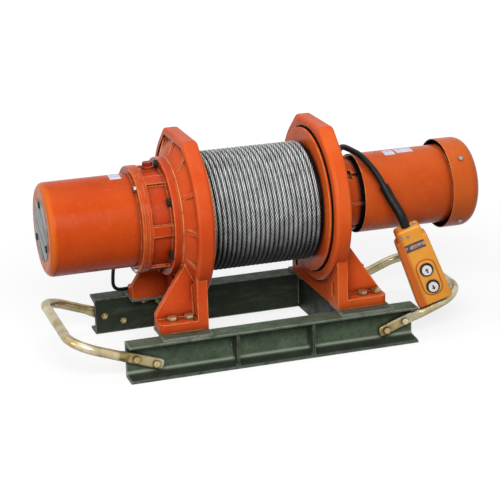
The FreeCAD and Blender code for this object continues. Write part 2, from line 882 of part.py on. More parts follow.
def make_base():
    save("front_rail", make_rail(-1))
    save("rear_rail", make_rail(1))
    save("rail_stiffeners", *[make_rib(station, side) for side in (-1, 1) for station in rib_stations])
    save("right_cross_member", make_cross_member(motor_foot))
    save("left_cross_member", mirrored_x(make_cross_member(gear_foot)))
    right_pads = [make_pad(side, motor_foot) for side in (-1, 1)]
    left_pads = [mirrored_x(make_pad(side, gear_foot)) for side in (-1, 1)]
    save("foot_pads", *right_pads, *left_pads)
    save("right_handle", make_handle(rail_right))
    save("left_handle", mirrored_x(make_handle(rail_left)))
    save("handle_bolts", *make_handle_bolts(-1, rail_left), *make_handle_bolts(1, rail_right))


def make_brackets():
    """Left bracket with the gear boss, right bracket with the motor seat, and their foot bolts."""
    left = make_bracket(big_flange_r, gear_face_x, collar_r - rim_t - 2, gear_foot)
    left = left.cut(disc(rim_x, gear_face_x + 1, ring_r))
    thread_end = big_flange_out - housing_bolt_len - thread_past
    left = round_holes(left, housing_bolt_count, 0, housing_bolt_ring, thread_end, gear_face_x + 1,
                       housing_bolt_r + joint_gap)
    right = make_bracket(motor_boss_r, motor_face, motor_boss_r + motor_boss_flare, motor_foot)
    thread_end = hub_edge - pocket_in - motor_bolt_len - thread_past
    right = round_holes(right, 4, 45, motor_bolt_ring, thread_end, motor_face + 1, motor_bolt_r + joint_gap)
    save("left_bracket", mirrored_x(left))
    save("right_bracket", right)
    save("bracket_bolts", *make_foot_bolts(-1, gear_foot), *make_foot_bolts(1, motor_foot))


def make_drum():
    inside = drum_half - drum_wall
    corners = [
        (-bearing_out, journal_bore), (-bearing_out, journal_r), (-drum_side, journal_r),
        (-drum_side, flange_r), (-drum_half, flange_r), (-drum_half, barrel_r),
        (drum_half, barrel_r), (drum_half, flange_r), (drum_side, flange_r),
        (drum_side, journal_r), (bearing_out, journal_r), (bearing_out, journal_bore),
        (inside, journal_bore), (inside, barrel_bore), (-inside, barrel_bore), (-inside, journal_bore),
    ]
    save("drum", lathe(corners))
    pack_end = drum_half - rope_end_gap
    pitch = 2 * pack_end / rope_turns
    groove_r = rope_pack_r - rope_groove
    slope = (1 - rope_crown) / 2
    corners = [(-pack_end, barrel_r + joint_gap), (-pack_end, groove_r)]
    for turn in range(rope_turns):
        start = turn * pitch - pack_end
        corners += [(start + slope * pitch, rope_pack_r), (start + (1 - slope) * pitch, rope_pack_r),
                    (start + pitch, groove_r)]
    save("wire_rope", lathe(corners + [(pack_end, barrel_r + joint_gap)]))


def make_gears():
    """Two planetary stages side by side in one ring gear, driven by the motor shaft."""
    save("ring_gear", make_ring_gear(plate_play - housing_out, -gear_face_x))
    save_planets("1", -planet1_out, -planet1_in, pin1_r)
    save_planets("2", -planet2_out, -planet2_in, pin2_r)
    sun2 = gear(sun_teeth, -plate1_in, side_play - planet2_in, 0.0)
    bore = disc(-plate1_out - 1, 2 * side_play - planet2_in, shaft_r + running)
    save("carrier_1", fused(make_carrier(plate1_in, plate1_out, planet1_out, pin1_r), sun2).cut(bore))
    hub = disc(-plate2_out, -drum_half, journal_bore - joint_gap)
    through = disc(-plate2_out - 1, 1 - drum_half, shaft_r + shaft_clear)
    save("carrier_2", fused(make_carrier(plate2_in, plate2_out, planet2_out, pin2_r), hub).cut(through))
    sun1 = gear(sun_teeth, -planet1_out - side_play, side_play - planet1_in, 0.0)
    save("motor_shaft", fused(disc(-magnet_end - shaft_past, fan_end + shaft_clear, shaft_r), sun1))


def make_gear_housing():
    bore = ring_r + joint_gap
    corners = [
        (-housing_out, bore), (-housing_out, small_flange_r, flange_edge),
        (-small_flange_in, small_flange_r, flange_edge), (-small_flange_in, body_r), (-big_flange_out, body_r),
        (-big_flange_out, big_flange_r, flange_edge), (-gear_face_x, big_flange_r, flange_edge),
        (-gear_face_x, bore),
    ]
    housing = lathe(corners)
    rib = block(-small_flange_in - 1, 1 - big_flange_out, -housing_rib_w / 2, housing_rib_w / 2,
                axis_z + bore + 1, axis_z + body_r + housing_rib_h)
    boss_x = -(small_flange_in + big_flange_out) / 2
    seat = V(boss_x, 0, axis_z + body_r + oil_boss_h)
    root = V(boss_x, 0, axis_z + bore + 1)
    housing = fused(housing, rod(root, seat, oil_boss_r), *ringed(rib, housing_bolt_count, 180 / housing_bolt_count))
    housing = round_holes(housing, housing_bolt_count, 0, housing_bolt_ring, -big_flange_out - 1,
                          1 - gear_face_x, housing_bolt_r + slack)
    thread_end = cover_lip_out - cover_screw_len - thread_past
    housing = round_holes(housing, cover_screw_count, cover_screw_turn, cover_screw_ring, -housing_out - 1,
                          -thread_end, cover_screw_r + joint_gap)
    well = rod(seat - V(0, 0, oil_boss_h + joint_gap), seat + V(0, 0, 1), oil_plug_r + joint_gap)
    save("gear_housing", housing.cut(well))
    save("oil_plug", bolt(seat, V(0, 0, 1), oil_plug_r, oil_plug_across, oil_plug_head, oil_boss_h))
    save("gear_housing_bolts", *round_bolts(housing_bolt_count, 0, housing_bolt_ring, -big_flange_out, -1,
                                            housing_bolt_r, housing_bolt_across, housing_bolt_head,
                                            housing_bolt_len))
    flange = softened(disc(-gear_cover_out, -housing_out, small_flange_r), -housing_out, flange_edge)
    cover = fused(softened(flange, -gear_cover_out, flange_edge), disc(-friction_x, -housing_out, friction_r))
    cover = cover.cut(disc(-friction_x - 1, 1 - housing_out, shaft_r + shaft_clear))
    cover = cover.cut(disc(-friction_x - 1, -gear_cover_out, shaft_bearing_r + joint_gap))
    save("gear_cover", round_holes(cover, cover_screw_count, cover_screw_turn, cover_screw_ring,
                                   -gear_cover_out - 1, 1 - housing_out, cover_screw_r + slack))


def make_brake_cover():
    """Deep cover, the bare plate on its end, and the screws of both."""
    inner = cover_r - cover_t
    corners = [
        (-cover_lip_out, cover_r), (-cover_lip_out, small_flange_r, flange_edge),
        (-gear_cover_out, small_flange_r, flange_edge), (-gear_cover_out, inner),
        (cover_t - cover_end, inner, cover_round - cover_t),
        (cover_t - cover_end, 0), (-cover_end, 0), (-cover_end, cover_r, cover_round),
    ]
    cover = round_holes(lathe(corners), cover_screw_count, cover_screw_turn, cover_screw_ring,
                        -cover_lip_out - 1, 1 - gear_cover_out, cover_screw_r + slack)
    save("brake_cover", cover)
    outside = -cover_end - plate_t
    save("nameplate", round_holes(disc(outside, -cover_end, plate_r), 3, 0, plate_screw_ring, outside - 1,
                                  1 - cover_end, plate_screw_r + slack))
    screws = round_bolts(cover_screw_count, cover_screw_turn, cover_screw_ring, -cover_lip_out, -1,
                         cover_screw_r, cover_screw_across, cover_screw_head, cover_screw_len)
    stem = disc(outside, -cover_end, plate_screw_r)
    pin = fused(disc(outside - plate_screw_head, outside, plate_screw_head_r), stem)
    pin.translate(V(0, 0, plate_screw_ring))
    return screws + ringed(pin, 3)


def make_brake():
    """Spring-applied disc brake: magnet on three legs, springs, armature and disc."""
    hollow = shaft_r + 2 * shaft_clear
    magnet = ring(-magnet_end, -magnet_x, magnet_r, hollow)
    lug = block(-magnet_end, -magnet_x, -magnet_leg_r - 2, magnet_leg_r + 2, axis_z + magnet_r - magnet_leg_r,
                axis_z + magnet_leg_ring + magnet_leg_r + 2)
    leg_z = axis_z + magnet_leg_ring
    leg = rod(V(-magnet_x, 0, leg_z), V(-gear_cover_out, 0, leg_z), magnet_leg_r)
    magnet = fused(magnet, *ringed(lug, 3, 60), *ringed(leg, 3, 60))
    pocket = magnet_x + joint_gap + spring_len
    save("brake_magnet", round_holes(magnet, 6, 30, spring_ring, -pocket, 1 - magnet_x, spring_r + slack))
    spring = ring(-pocket, spring_len - pocket, spring_r, spring_r - spring_wall)
    spring.translate(V(0, 0, spring_ring))
    save("brake_springs", *ringed(spring, 6, 30))
    save("brake_armature", ring(-armature_x - armature_t, -armature_x, armature_r, hollow))
    save("brake_disc", ring(-brake_disc_x - brake_disc_t, -brake_disc_x, brake_disc_r, shaft_r + joint_gap))


def make_motor():
    """End bell on the bracket, finned frame, stator, rotor and the sheet shroud round them."""
    bore = shaft_r + shaft_clear
    corners = [
        (motor_face, bore), (motor_face, hub_lip_r), (motor_face + hub_lip_t, hub_lip_r),
        (motor_face + hub_lip_t, hub_r), (hub_edge, hub_r, hub_round), (hub_end, frame_r), (hub_end, bore),
    ]
    bell = lathe(corners).cut(disc(hub_end - shaft_bearing_w, hub_end + 1, shaft_bearing_r + joint_gap))
    bell = round_holes(bell, 4, 45, motor_bolt_ring, motor_face - 1, hub_end + 1, motor_bolt_r + slack)
    pocket = block(hub_edge - pocket_in, hub_edge - pocket_in + pocket_len, -pocket_half, pocket_half,
                   axis_z + hub_r - pocket_depth, axis_z + hub_r)
    rib = block(hub_edge - hub_rib_in, shroud_x - joint_gap, -hub_rib_w / 2, hub_rib_w / 2,
                axis_z + frame_r - hub_rib_in, axis_z + hub_r)
    save("motor_end_bell", fused(bell.cut(ringed(pocket, 4, 45)), *ringed(rib, 4)))
    save("motor_bolts", *round_bolts(4, 45, motor_bolt_ring, hub_edge - pocket_in, 1, motor_bolt_r,
                                     motor_bolt_across, motor_bolt_head, motor_bolt_len))
    fin = block(hub_end + fin_in, frame_end - fin_in, -fin_w / 2, fin_w / 2,
                axis_z + frame_r - 2, axis_z + fin_r)
    body = ring(hub_end, frame_end, frame_r, frame_bore + joint_gap)
    save("motor_body", fused(body, *ringed(fin, 12, 15)))
    save("stator_core", ring(core_x[0], core_x[1], frame_bore, rotor_r + air_gap))
    inner, outer = winding_r
    save("stator_windings", ring(core_x[0] - winding_len, core_x[0], outer, inner),
         ring(core_x[1], core_x[1] + winding_len, outer, inner))
    save("rotor_core", ring(core_x[0], core_x[1], rotor_r, shaft_r + joint_gap))
    save("motor_shroud", ring(shroud_x, fan_cover_x + shroud_lap, shroud_r, shroud_r - shroud_t))


def make_rear_shield():
    """Rear bearing shield whose four stays carry the fan cover."""
    reach = fan_cover_r - fan_cover_t
    inner, outer = skirt_r
    arm_x = stay_x[0] - shaft_clear - stay_arm
    spoke = block(arm_x, arm_x + stay_arm, -stay_w / 2, stay_w / 2, axis_z + inner + 2, axis_z + reach)
    bar = block(arm_x + stay_arm - 1, stay_x[1], -stay_w / 2, stay_w / 2,
                axis_z + fan_r + stay_clear, axis_z + reach)
    shield = fused(disc(frame_end, frame_end + shield_t, frame_r),
                   disc(frame_end, frame_end + shield_boss_h, shield_boss_r),
                   ring(frame_end, arm_x + stay_arm / 2, outer, inner),
                   *ringed(spoke, 4, 45), *ringed(bar, 4, 45))
    shield = shield.common(disc(frame_end, stay_x[1], reach - joint_gap))
    shield = shield.cut(disc(frame_end - 1, stay_x[1], shaft_r + shaft_clear))
    seat = frame_end + shield_boss_h - shaft_bearing_w
    shield = shield.cut(disc(seat, stay_x[1], shaft_bearing_r + joint_gap))
    hole = rod(V(stay_mid, 0, axis_z + fan_r + stay_clear + 2), V(stay_mid, 0, axis_z + reach + 1),
               fan_screw_r + joint_gap)
    save("rear_end_shield", shield.cut(ringed(hole, 4, 45)))


def make_bearings():
    ends = (hub_end, frame_end + shield_boss_h, -gear_cover_out)
    small = [ring(x - shaft_bearing_w, x, shaft_bearing_r, shaft_r + running) for x in ends]
    large = ring(bearing_in, bearing_out, bearing_r, journal_r + running)
    save("bearings", *small, large, mirrored_x(large))


def make_fan():
    """Fan on the shaft end, its vented cover and the cover's screws."""
    inner = fan_cover_r - fan_cover_t
    end = right_reach - fan_cover_t
    corners = [
        (fan_cover_x, inner), (fan_cover_x, fan_cover_r), (right_reach, fan_cover_r, fan_cover_round),
        (right_reach, 0), (end, 0), (end, inner, fan_cover_round - fan_cover_t),
    ]
    low, high = vent_r
    vent = block(end - 1, right_reach + 1, -vent_w / 2, vent_w / 2, axis_z + low, axis_z + high)
    for radius in vent_r:
        start = V(end - 1, 0, axis_z + radius)
        vent = vent.fuse(rod(start, start + V(fan_cover_t + 2, 0, 0), vent_w / 2))
    root = V(stay_mid, 0, axis_z + fan_r + stay_clear + 3)
    top = V(stay_mid, 0, axis_z + fan_cover_r)
    hole = rod(root, top + V(0, 0, 1), fan_screw_r + slack)
    save("fan_cover", lathe(corners).cut(ringed(vent, vent_count)).cut(ringed(hole, 4, 45)))
    blade = block(fan_start, fan_end - 1, -blade_t / 2, blade_t / 2, axis_z + fan_hub_r - 3, axis_z + fan_r)
    fan = fused(disc(fan_start, fan_end, fan_hub_r), disc(fan_end - fan_plate_t, fan_end, fan_r),
                *ringed(blade, blade_count))
    save("cooling_fan", fan.cut(disc(fan_start - 1, fan_end + 1, shaft_r + joint_gap)))
    screw = fused(rod(top, top + V(0, 0, fan_screw_head), fan_screw_head_r), rod(root, top, fan_screw_r))
    return ringed(screw, 4, 45)


def gland(seat, along, radius):
    """Hex nut and sleeve of a cable gland standing on seat."""
    nut_part = hexagon(seat, along, 2 * radius - 3, gland_nut_h)
    return fused(nut_part, rod(seat, seat + along * gland_h, radius - 3))


def make_terminal_box():
    """Box on the back of the motor; returns the glands of the hand control, the brake and the supply."""
    box = block(box_x[0], box_x[1], box_root, box_y, box_z[0], box_z[1])
    box = box.makeFillet(box_round, [e for e in box.Edges if e.BoundBox.YMin > box_y - 1])
    box = box.cut(disc(box_x[0] - 1, box_x[1] + 1, hub_r + joint_gap))
    box = box.cut(disc(box_x[0] - 1, motor_face + hub_lip_t + joint_gap, hub_lip_r + joint_gap))
    save("terminal_box", max(box.Solids, key=lambda solid: solid.CenterOfMass.y))
    back = V((box_x[0] + box_x[1]) / 2, box_y, (box_z[0] + box_z[1]) / 2)
    down = V(0, 0, -1)
    return [gland(pendant_gland, down, pendant_gland_r), gland(brake_gland, down, brake_gland_r),
            gland(back, V(0, 1, 0), supply_gland_r)]


def pendant_frame():
    """Point under the middle of the hand control, and its width, height and depth directions."""
    along = V(math.cos(handle_slope), 0, math.sin(handle_slope))
    rise = V(-along.z, 0, along.x)
    back = V(0, 1, 0)
    up = rise * math.cos(pendant_lean) + back * math.sin(pendant_lean)
    level = back * math.cos(pendant_lean) - rise * math.sin(pendant_lean)
    across = along * math.cos(pendant_yaw) + level * math.sin(pendant_yaw)
    deep = level * math.cos(pendant_yaw) - along * math.sin(pendant_yaw)
    leg = V(pendant_foot, -rail_back - web_t - tube_r, leg_height(pendant_foot, rail_right))
    return leg + up * (tube_r + pendant_lift) + level * pendant_back, across, up, deep


def pendant_point(across_mm, up_mm, deep_mm):
    origin, across, up, deep = pendant_frame()
    return origin + across * across_mm + up * up_mm + deep * deep_mm


def pendant_prism(corners, deep_0, deep_1):
    face = face_of(corners, lambda p: pendant_point(p.x, p.y, deep_0))
    return face.extrude(pendant_frame()[3] * (deep_1 - deep_0))


def pendant_panel(low, high, half, corner):
    """Upright rounded panel round the buttons."""
    left = panel_off - half
    right = panel_off + half
    return [(left, low - half, corner), (right, low - half, corner), (right, high + half, corner),
            (left, high + half, corner)]


def edged(solid, deep_mm, radius):
    """Round the edges that lie wholly at one depth of the hand control."""
    origin, across, up, deep = pendant_frame()
    flat = [edge for edge in solid.Edges
            if all(abs((v.Point - origin).dot(deep) - deep_mm) < 1e-3 for v in edge.Vertexes)]
    return solid.makeFillet(radius, flat)


def pendant_outline(inset):
    low = pendant_low - inset
    high = pendant_high - inset
    neck = pendant_neck - inset
    corner = pendant_round - inset
    waist = neck_start - inset
    top = pendant_len - inset
    return [
        (-low, inset, corner), (low, inset, corner), (high, waist, corner), (neck, waist + neck_step),
        (neck, top, corner), (-neck, top, corner), (-neck, waist + neck_step), (-high, waist, corner),
    ]


def make_pendant():
    """Two shells, the bare label plate, bezels, buttons and the contact block behind them."""
    front = -shell_depth
    rear = shell_depth
    face = front - boss_t
    low_h = button_up_h - button_pitch
    half = bezel_r + boss_rim
    shell = edged(pendant_prism(pendant_outline(0), front, 0), front, shell_edge)
    pad = pendant_panel(low_h, button_up_h, half, boss_round)
    step = pendant_panel(low_h, button_up_h, half + boss_rim, boss_round + boss_rim)
    raised = [pendant_prism(step, front - boss_t / 2, front + 1), pendant_prism(pad, face, front + 1)]
    shell = fused(shell, *raised)
    shell = shell.cut(pendant_prism(pendant_outline(shell_t), front + shell_t, 1))
    back = edged(pendant_prism(pendant_outline(0), 0, rear), rear, shell_edge)
    back = back.cut(pendant_prism(pendant_outline(shell_t), -1, rear - shell_t))
    out = pendant_frame()[3] * -1
    bezels = []
    buttons = []
    for height in (button_up_h, low_h):
        eye = pendant_point(panel_off, height, face)
        hole = rod(eye - out * (boss_t + shell_t + 1), eye + out * (bezel_t + 1), button_r + button_gap)
        shell = shell.cut(hole)
        bezels.append(rod(eye, eye + out * bezel_t, bezel_r).cut(hole))
        foot = eye - out * button_in
        cap = rod(eye + out * button_out, foot, button_r)
        buttons.append(fused(cap, rod(foot, foot - out * stem_len, stem_r)))
    save("pendant_front_shell", shell)
    save("pendant_rear_shell", back)
    save("button_bezels", *bezels)
    save("button_up", buttons[0])
    save("button_down", buttons[1])
    label = [(label_off + sx * label_len / 2, label_h + sy * label_w / 2, label_round)
             for sx, sy in ((-1, -1), (1, -1), (1, 1), (-1, 1))]
    save("pendant_label", pendant_prism(label, front - label_t, front))
    left = panel_off - contact_half
    right = panel_off + contact_half
    contact = [(left, low_h - contact_past), (right, low_h - contact_past),
               (right, button_up_h + contact_past), (left, button_up_h + contact_past)]
    contact_deep = face + button_in + stem_len + button_travel + contact_gap
    save("contact_block", pendant_prism(contact, contact_deep, rear - shell_t))


def around(x, degrees, radius):
    """Point at an angle round the motor, counted from +Y over the top."""
    turn = math.radians(degrees)
    return V(x, radius * math.cos(turn), axis_z + radius * math.sin(turn))


def make_cables():
    """Hand control's cable: gland, coil behind the base, over the motor and into its sleeve."""
    top = pendant_point(0, pendant_len, 0)
    grip = [top, top + pendant_frame()[2] * 28, V(279, -112, 310), V(270, -97, 334)]
    save_cord("cable_sleeve", grip, sleeve_r)
    entry = grip[3] + (grip[3] - grip[2]) * 1.1
    upper = [
        V(322, 244, 19.5), V(312, 219, 31), V(298, 201, 54), V(281, 188.5, 98), V(262, 171, 152),
        V(249, 148, 205), V(241, 128, 255), around(238, 6, 112), around(236, 33, 107), around(227, 58, 104),
        around(222, 80, 104), around(226, 99, 104), around(241, 115, 104), entry, grip[3],
    ]
    save_cord("pendant_cable_upper", upper, cable_r)
    lower = [
        pendant_gland - V(0, 0, gland_h), V(213, 118, 196), V(210, 132, 158), V(202, 160, 126),
        V(193, 190, 98), V(185, 214, 62), V(179, 238, 27), V(178, 264, 8),
    ]
    save_cord("pendant_cable_lower", lower, cable_r)
    low = V(coil_centre[0], coil_centre[1], 0)
    height = 4 * cable_r
    outer = Part.makeCylinder(coil_mean_r + 2 * cable_r, height, low)
    save("pendant_cable_coil", outer.cut(Part.makeCylinder(coil_mean_r - 2 * cable_r, height, low)))


def make_brake_lead():
    """Lead from the brake cover, behind the left foot, along the rear rail and up to the terminal box."""
    gland_x = -cover_lip_out - lead_gland_out
    tilt = V(0, math.sqrt(0.5), -math.sqrt(0.5))
    centre = V(gland_x, 0, axis_z)
    seat = centre + tilt * cover_r
    nose = seat + tilt * gland_h
    body = fused(rod(seat - tilt * 8, seat + tilt * gland_nut_h, lead_gland_r + 2),
                 rod(seat, nose, lead_gland_r))
    body = body.cut(disc(gland_x - 20, gland_x + 20, cover_r + joint_gap))
    end = brake_gland - V(0, 0, gland_h)
    route = [
        nose, nose + tilt * 50, V(-275, 153, 130), V(-275, 156, 90.5), V(-234, 158, 90), V(-206, 176, 93),
        V(-188, 195, 84), V(-174, 197, 56), V(-150, 183, 25), V(rib_stations[0] - lead_past, 151, 16.5),
        V(-2, 155, 17.5), V(rib_stations[1] + lead_past, 151, 16.5), V(134, 178, 24), V(156, 196, 52),
        V(170, 195, 92), V(180, 168, 128), V(187, 134, 158), end - V(0, 0, 38), end,
    ]
    save_cord("brake_lead", route, lead_r)
    return body


make_base()
make_brackets()
make_drum()
make_gears()
make_gear_housing()
make_brake()
make_motor()
make_rear_shield()
make_bearings()
save("cover_screws", *make_brake_cover(), *make_fan())
make_pendant()
make_cables()
save("cable_glands", *make_terminal_box(), make_brake_lead())
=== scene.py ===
import math
import random

import bpy
from mathutils import Matrix, Vector


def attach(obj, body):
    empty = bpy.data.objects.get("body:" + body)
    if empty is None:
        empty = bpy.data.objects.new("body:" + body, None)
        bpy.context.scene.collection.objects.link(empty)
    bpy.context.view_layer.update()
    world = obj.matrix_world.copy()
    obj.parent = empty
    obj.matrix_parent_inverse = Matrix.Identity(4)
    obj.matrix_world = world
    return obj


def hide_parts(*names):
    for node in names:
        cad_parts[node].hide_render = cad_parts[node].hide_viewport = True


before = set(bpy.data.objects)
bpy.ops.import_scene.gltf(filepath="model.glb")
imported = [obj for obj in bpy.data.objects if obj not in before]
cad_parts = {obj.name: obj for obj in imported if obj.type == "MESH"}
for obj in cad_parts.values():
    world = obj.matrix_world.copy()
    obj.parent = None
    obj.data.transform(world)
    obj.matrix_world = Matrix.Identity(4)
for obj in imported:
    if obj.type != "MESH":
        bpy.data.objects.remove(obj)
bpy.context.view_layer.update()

# Lengths below are millimetres, as on the drawing: x from the drum middle, y from its axis, z from the floor
MM = 0.001
DRUM_X = -21.0          # drum middle in the scene's frame
AXIS_Z = 296.6


def at(x, y, z):
    """Point of the drawing in the scene's metres."""
    return Vector(((x + DRUM_X) * MM, y * MM, z * MM))


def around(x, degrees, radius):
    """Point at an angle round the drum axis, counted from +Y over the top."""
    turn = math.radians(degrees)
    return (x, radius * math.cos(turn), AXIS_Z + radius * math.sin(turn))


def srgb(red, green, blue):
    """Linear colour of an 8-bit screen tone."""
    def linear(value):
        value /= 255
        return value / 12.92 if value <= 0.04045 else ((value + 0.055) / 1.055) ** 2.4
    return (linear(red), linear(green), linear(blue), 1.0)


# Hand control: it hangs just over the right handle's front leg, which slopes up from the end of the rail
RAIL_RIGHT = 314.5
HANDLE_Z = 49.5         # height of the leg axis at the rail end
HANDLE_LEG_Y = -152.5
HANDLE_SLOPE = math.radians(20.5)
PENDANT_X = 370.5
PENDANT_LEAN = math.radians(3.0)
PENDANT_YAW = math.radians(-12.6)
PENDANT_LIFT = 10.9
PENDANT_BACK = 4.0
PENDANT_LEG = (PENDANT_X, HANDLE_LEG_Y, HANDLE_Z + (PENDANT_X - RAIL_RIGHT) * math.tan(HANDLE_SLOPE))
# Its axes across the face, up along it and into it, and the middle of its lower end
SLOPE_ALONG = Vector((math.cos(HANDLE_SLOPE), 0.0, math.sin(HANDLE_SLOPE)))
SLOPE_RISE = Vector((-math.sin(HANDLE_SLOPE), 0.0, math.cos(HANDLE_SLOPE)))
PENDANT_UP = SLOPE_RISE * math.cos(PENDANT_LEAN) + Vector((0, 1, 0)) * math.sin(PENDANT_LEAN)
PENDANT_LEVEL = Vector((0, 1, 0)) * math.cos(PENDANT_LEAN) - SLOPE_RISE * math.sin(PENDANT_LEAN)
PENDANT_ACROSS = SLOPE_ALONG * math.cos(PENDANT_YAW) + PENDANT_LEVEL * math.sin(PENDANT_YAW)
PENDANT_DEEP = PENDANT_LEVEL * math.cos(PENDANT_YAW) - SLOPE_ALONG * math.sin(PENDANT_YAW)
PENDANT_ORIGIN = Vector(PENDANT_LEG) + PENDANT_UP * PENDANT_LIFT + PENDANT_LEVEL * PENDANT_BACK


def on_pendant(across, height, depth):
    """Point of the hand control in the scene's metres."""
    return at(*(PENDANT_ORIGIN + PENDANT_ACROSS * across + PENDANT_UP * height + PENDANT_DEEP * depth))


# Materials

BEVEL_SAMPLES = 4
CREVICE_SAMPLES = 6
# Sockets of the Mix node for colours, whose names its other modes share
MIX_FIRST = 6
MIX_SECOND = 7
MIX_RESULT = 2


class Finish:
    """One procedural material and the few node patterns that the finishes share."""

    def __init__(self, name):
        self.material = bpy.data.materials.new(name)
        self.material.use_nodes = True
        self.tree = self.material.node_tree
        self.shader = self.tree.nodes["Principled BSDF"]
        self.place = self.node("ShaderNodeTexCoord").outputs["Object"]

    def node(self, kind, **settings):
        node = self.tree.nodes.new(kind)
        for key, value in settings.items():
            setattr(node, key, value)
        return node

    def link(self, source, target):
        self.tree.links.new(source, target)

    def stretched(self, scale, turn):
        """Coordinates stretched along their axes and turned."""
        mapping = self.node("ShaderNodeMapping", vector_type="TEXTURE")
        mapping.inputs["Scale"].default_value = [1 / share for share in scale]
        mapping.inputs["Rotation"].default_value = turn
        self.link(self.place, mapping.inputs["Vector"])
        return mapping.outputs["Vector"]

    def noise(self, scale, detail=3.0, rough=0.55, stretch=None, turn=(0.0, 0.0, 0.0)):
        node = self.node("ShaderNodeTexNoise")
        node.inputs["Scale"].default_value = scale
        node.inputs["Detail"].default_value = detail
        node.inputs["Roughness"].default_value = rough
        self.link(self.stretched(stretch, turn) if stretch else self.place, node.inputs["Vector"])
        return node.outputs["Fac"]

    def spread(self, value, low, high, to_low=0.0, to_high=1.0):
        """Value with its range from low to high spread over another range and held at its ends."""
        node = self.node("ShaderNodeMapRange")
        for key, number in (("From Min", low), ("From Max", high), ("To Min", to_low), ("To Max", to_high)):
            node.inputs[key].default_value = number
        self.link(value, node.inputs["Value"])
        return node.outputs["Result"]

    def patches(self, scale, low, high, detail=4.0, rough=0.55, stretch=None):
        """Noise that is 0 below low, 1 above high and soft between."""
        return self.spread(self.noise(scale, detail, rough, stretch), low, high)

    def math(self, operation, first, second):
        node = self.node("ShaderNodeMath", operation=operation)
        for slot, value in enumerate((first, second)):
            if isinstance(value, (int, float)):
                node.inputs[slot].default_value = value
            else:
                self.link(value, node.inputs[slot])
        return node.outputs["Value"]

    def both(self, first, second):
        """1 where two shares are both 1."""
        return self.math("MULTIPLY", first, second)

    def either(self, first, second):
        """1 where at least one of two shares is 1."""
        return self.math("MAXIMUM", first, second)

    def inverse(self, share):
        return self.math("SUBTRACT", 1.0, share)

    def vector_math(self, operation, vector, constant=None):
        """Outputs of a vector maths node, with a constant as its second vector where one is given."""
        node = self.node("ShaderNodeVectorMath", operation=operation)
        self.link(vector, node.inputs[0])
        if constant is not None:
            node.inputs[1].default_value = constant
        return node.outputs

    def mix(self, share, first, second, strength=1.0):
        """The second colour over the first where a share is 1."""
        node = self.node("ShaderNodeMix", data_type="RGBA")
        self.link(share if strength == 1.0 else self.both(share, strength), node.inputs["Factor"])
        for slot, value in ((MIX_FIRST, first), (MIX_SECOND, second)):
            if isinstance(value, tuple):
                node.inputs[slot].default_value = value
            else:
                self.link(value, node.inputs[slot])
        return node.outputs[MIX_RESULT]

    def along(self, direction, start, end):
        """0 before one point, 1 past another, counted along a direction."""
        ahead = self.vector_math("DOT_PRODUCT", self.place, direction)["Value"]
        return self.spread(ahead, start.dot(direction), end.dot(direction))

    def beyond(self, x, fade):
        """0 before a station along the drum axis, 1 past it."""
        return self.along(Vector((1, 0, 0)), at(x, 0, 0), at(x + fade, 0, 0))

    def upward(self, start, end):
        """0 at one height, 1 at another, which may be the lower one."""
        return self.along(Vector((0, 0, 1)), at(0, 0, start), at(0, 0, end))

    def within(self, radius, fade):
        """1 inside a radius round the drum axis, 0 outside it."""
        shift = self.node("ShaderNodeVectorMath", operation="MULTIPLY_ADD")
        shift.inputs[1].default_value = (0.0, 1.0, 1.0)
        shift.inputs[2].default_value = (0.0, 0.0, -AXIS_Z * MM)
        self.link(self.place, shift.inputs[0])
        reach = self.vector_math("LENGTH", shift.outputs["Vector"])["Value"]
        return self.spread(reach, (radius - fade) * MM, radius * MM, 1.0, 0.0)

    def from_panel(self, middle, half_width, half_height, corner):
        """Distance from the core of a rounded panel on the face of the hand control.

        At the panel's outline it is the corner's radius.
        """
        flat = self.node("ShaderNodeCombineXYZ")
        for slot, direction in (("X", PENDANT_ACROSS), ("Y", PENDANT_UP)):
            self.link(self.vector_math("DOT_PRODUCT", self.place, direction)["Value"], flat.inputs[slot])
        centre = (middle.dot(PENDANT_ACROSS), middle.dot(PENDANT_UP), 0.0)
        core = [side * MM for side in (half_width - corner, half_height - corner, 0.0)]
        value = self.vector_math("SUBTRACT", flat.outputs["Vector"], centre)["Vector"]
        value = self.vector_math("ABSOLUTE", value)["Vector"]
        value = self.vector_math("SUBTRACT", value, core)["Vector"]
        value = self.vector_math("MAXIMUM", value, (0.0, 0.0, 0.0))["Vector"]
        return self.vector_math("LENGTH", value)["Value"]

    def band(self, value, start, end, fade):
        """1 between two distances in millimetres, 0 outside them."""
        return self.both(self.spread(value, (start - fade) * MM, start * MM),
                         self.spread(value, (end + fade) * MM, end * MM))

    def rounded(self, radius):
        """Normal with the piece's edges rounded in the shading."""
        bevel = self.node("ShaderNodeBevel", samples=BEVEL_SAMPLES)
        bevel.inputs["Radius"].default_value = radius
        return bevel.outputs["Normal"]

    def edges(self, radius, low, high):
        """1 along the piece's edges, 0 on its faces."""
        dot = self.node("ShaderNodeVectorMath", operation="DOT_PRODUCT")
        self.link(self.rounded(radius), dot.inputs[0])
        self.link(self.node("ShaderNodeNewGeometry").outputs["Normal"], dot.inputs[1])
        return self.spread(self.inverse(dot.outputs["Value"]), low, high)

    def occlusion_shade(self, reach, low, high):
        """Mask for painted shade: 1 in tight corners and joints, 0 on open faces; a long reach darkens an
        underside.
        """
        near = self.node("ShaderNodeAmbientOcclusion", samples=CREVICE_SAMPLES)
        near.inputs["Distance"].default_value = reach
        return self.spread(near.outputs["AO"], low, high, 1.0, 0.0)

    def relief(self, height, depth, strength, edge_radius=0.0):
        """Bump in metres, over edges that are rounded in the shading where a radius is given."""
        bump = self.node("ShaderNodeBump")
        bump.inputs["Strength"].default_value = strength
        bump.inputs["Distance"].default_value = depth
        self.link(height, bump.inputs["Height"])
        if edge_radius:
            self.link(self.rounded(edge_radius), bump.inputs["Normal"])
        self.link(bump.outputs["Normal"], self.shader.inputs["Normal"])

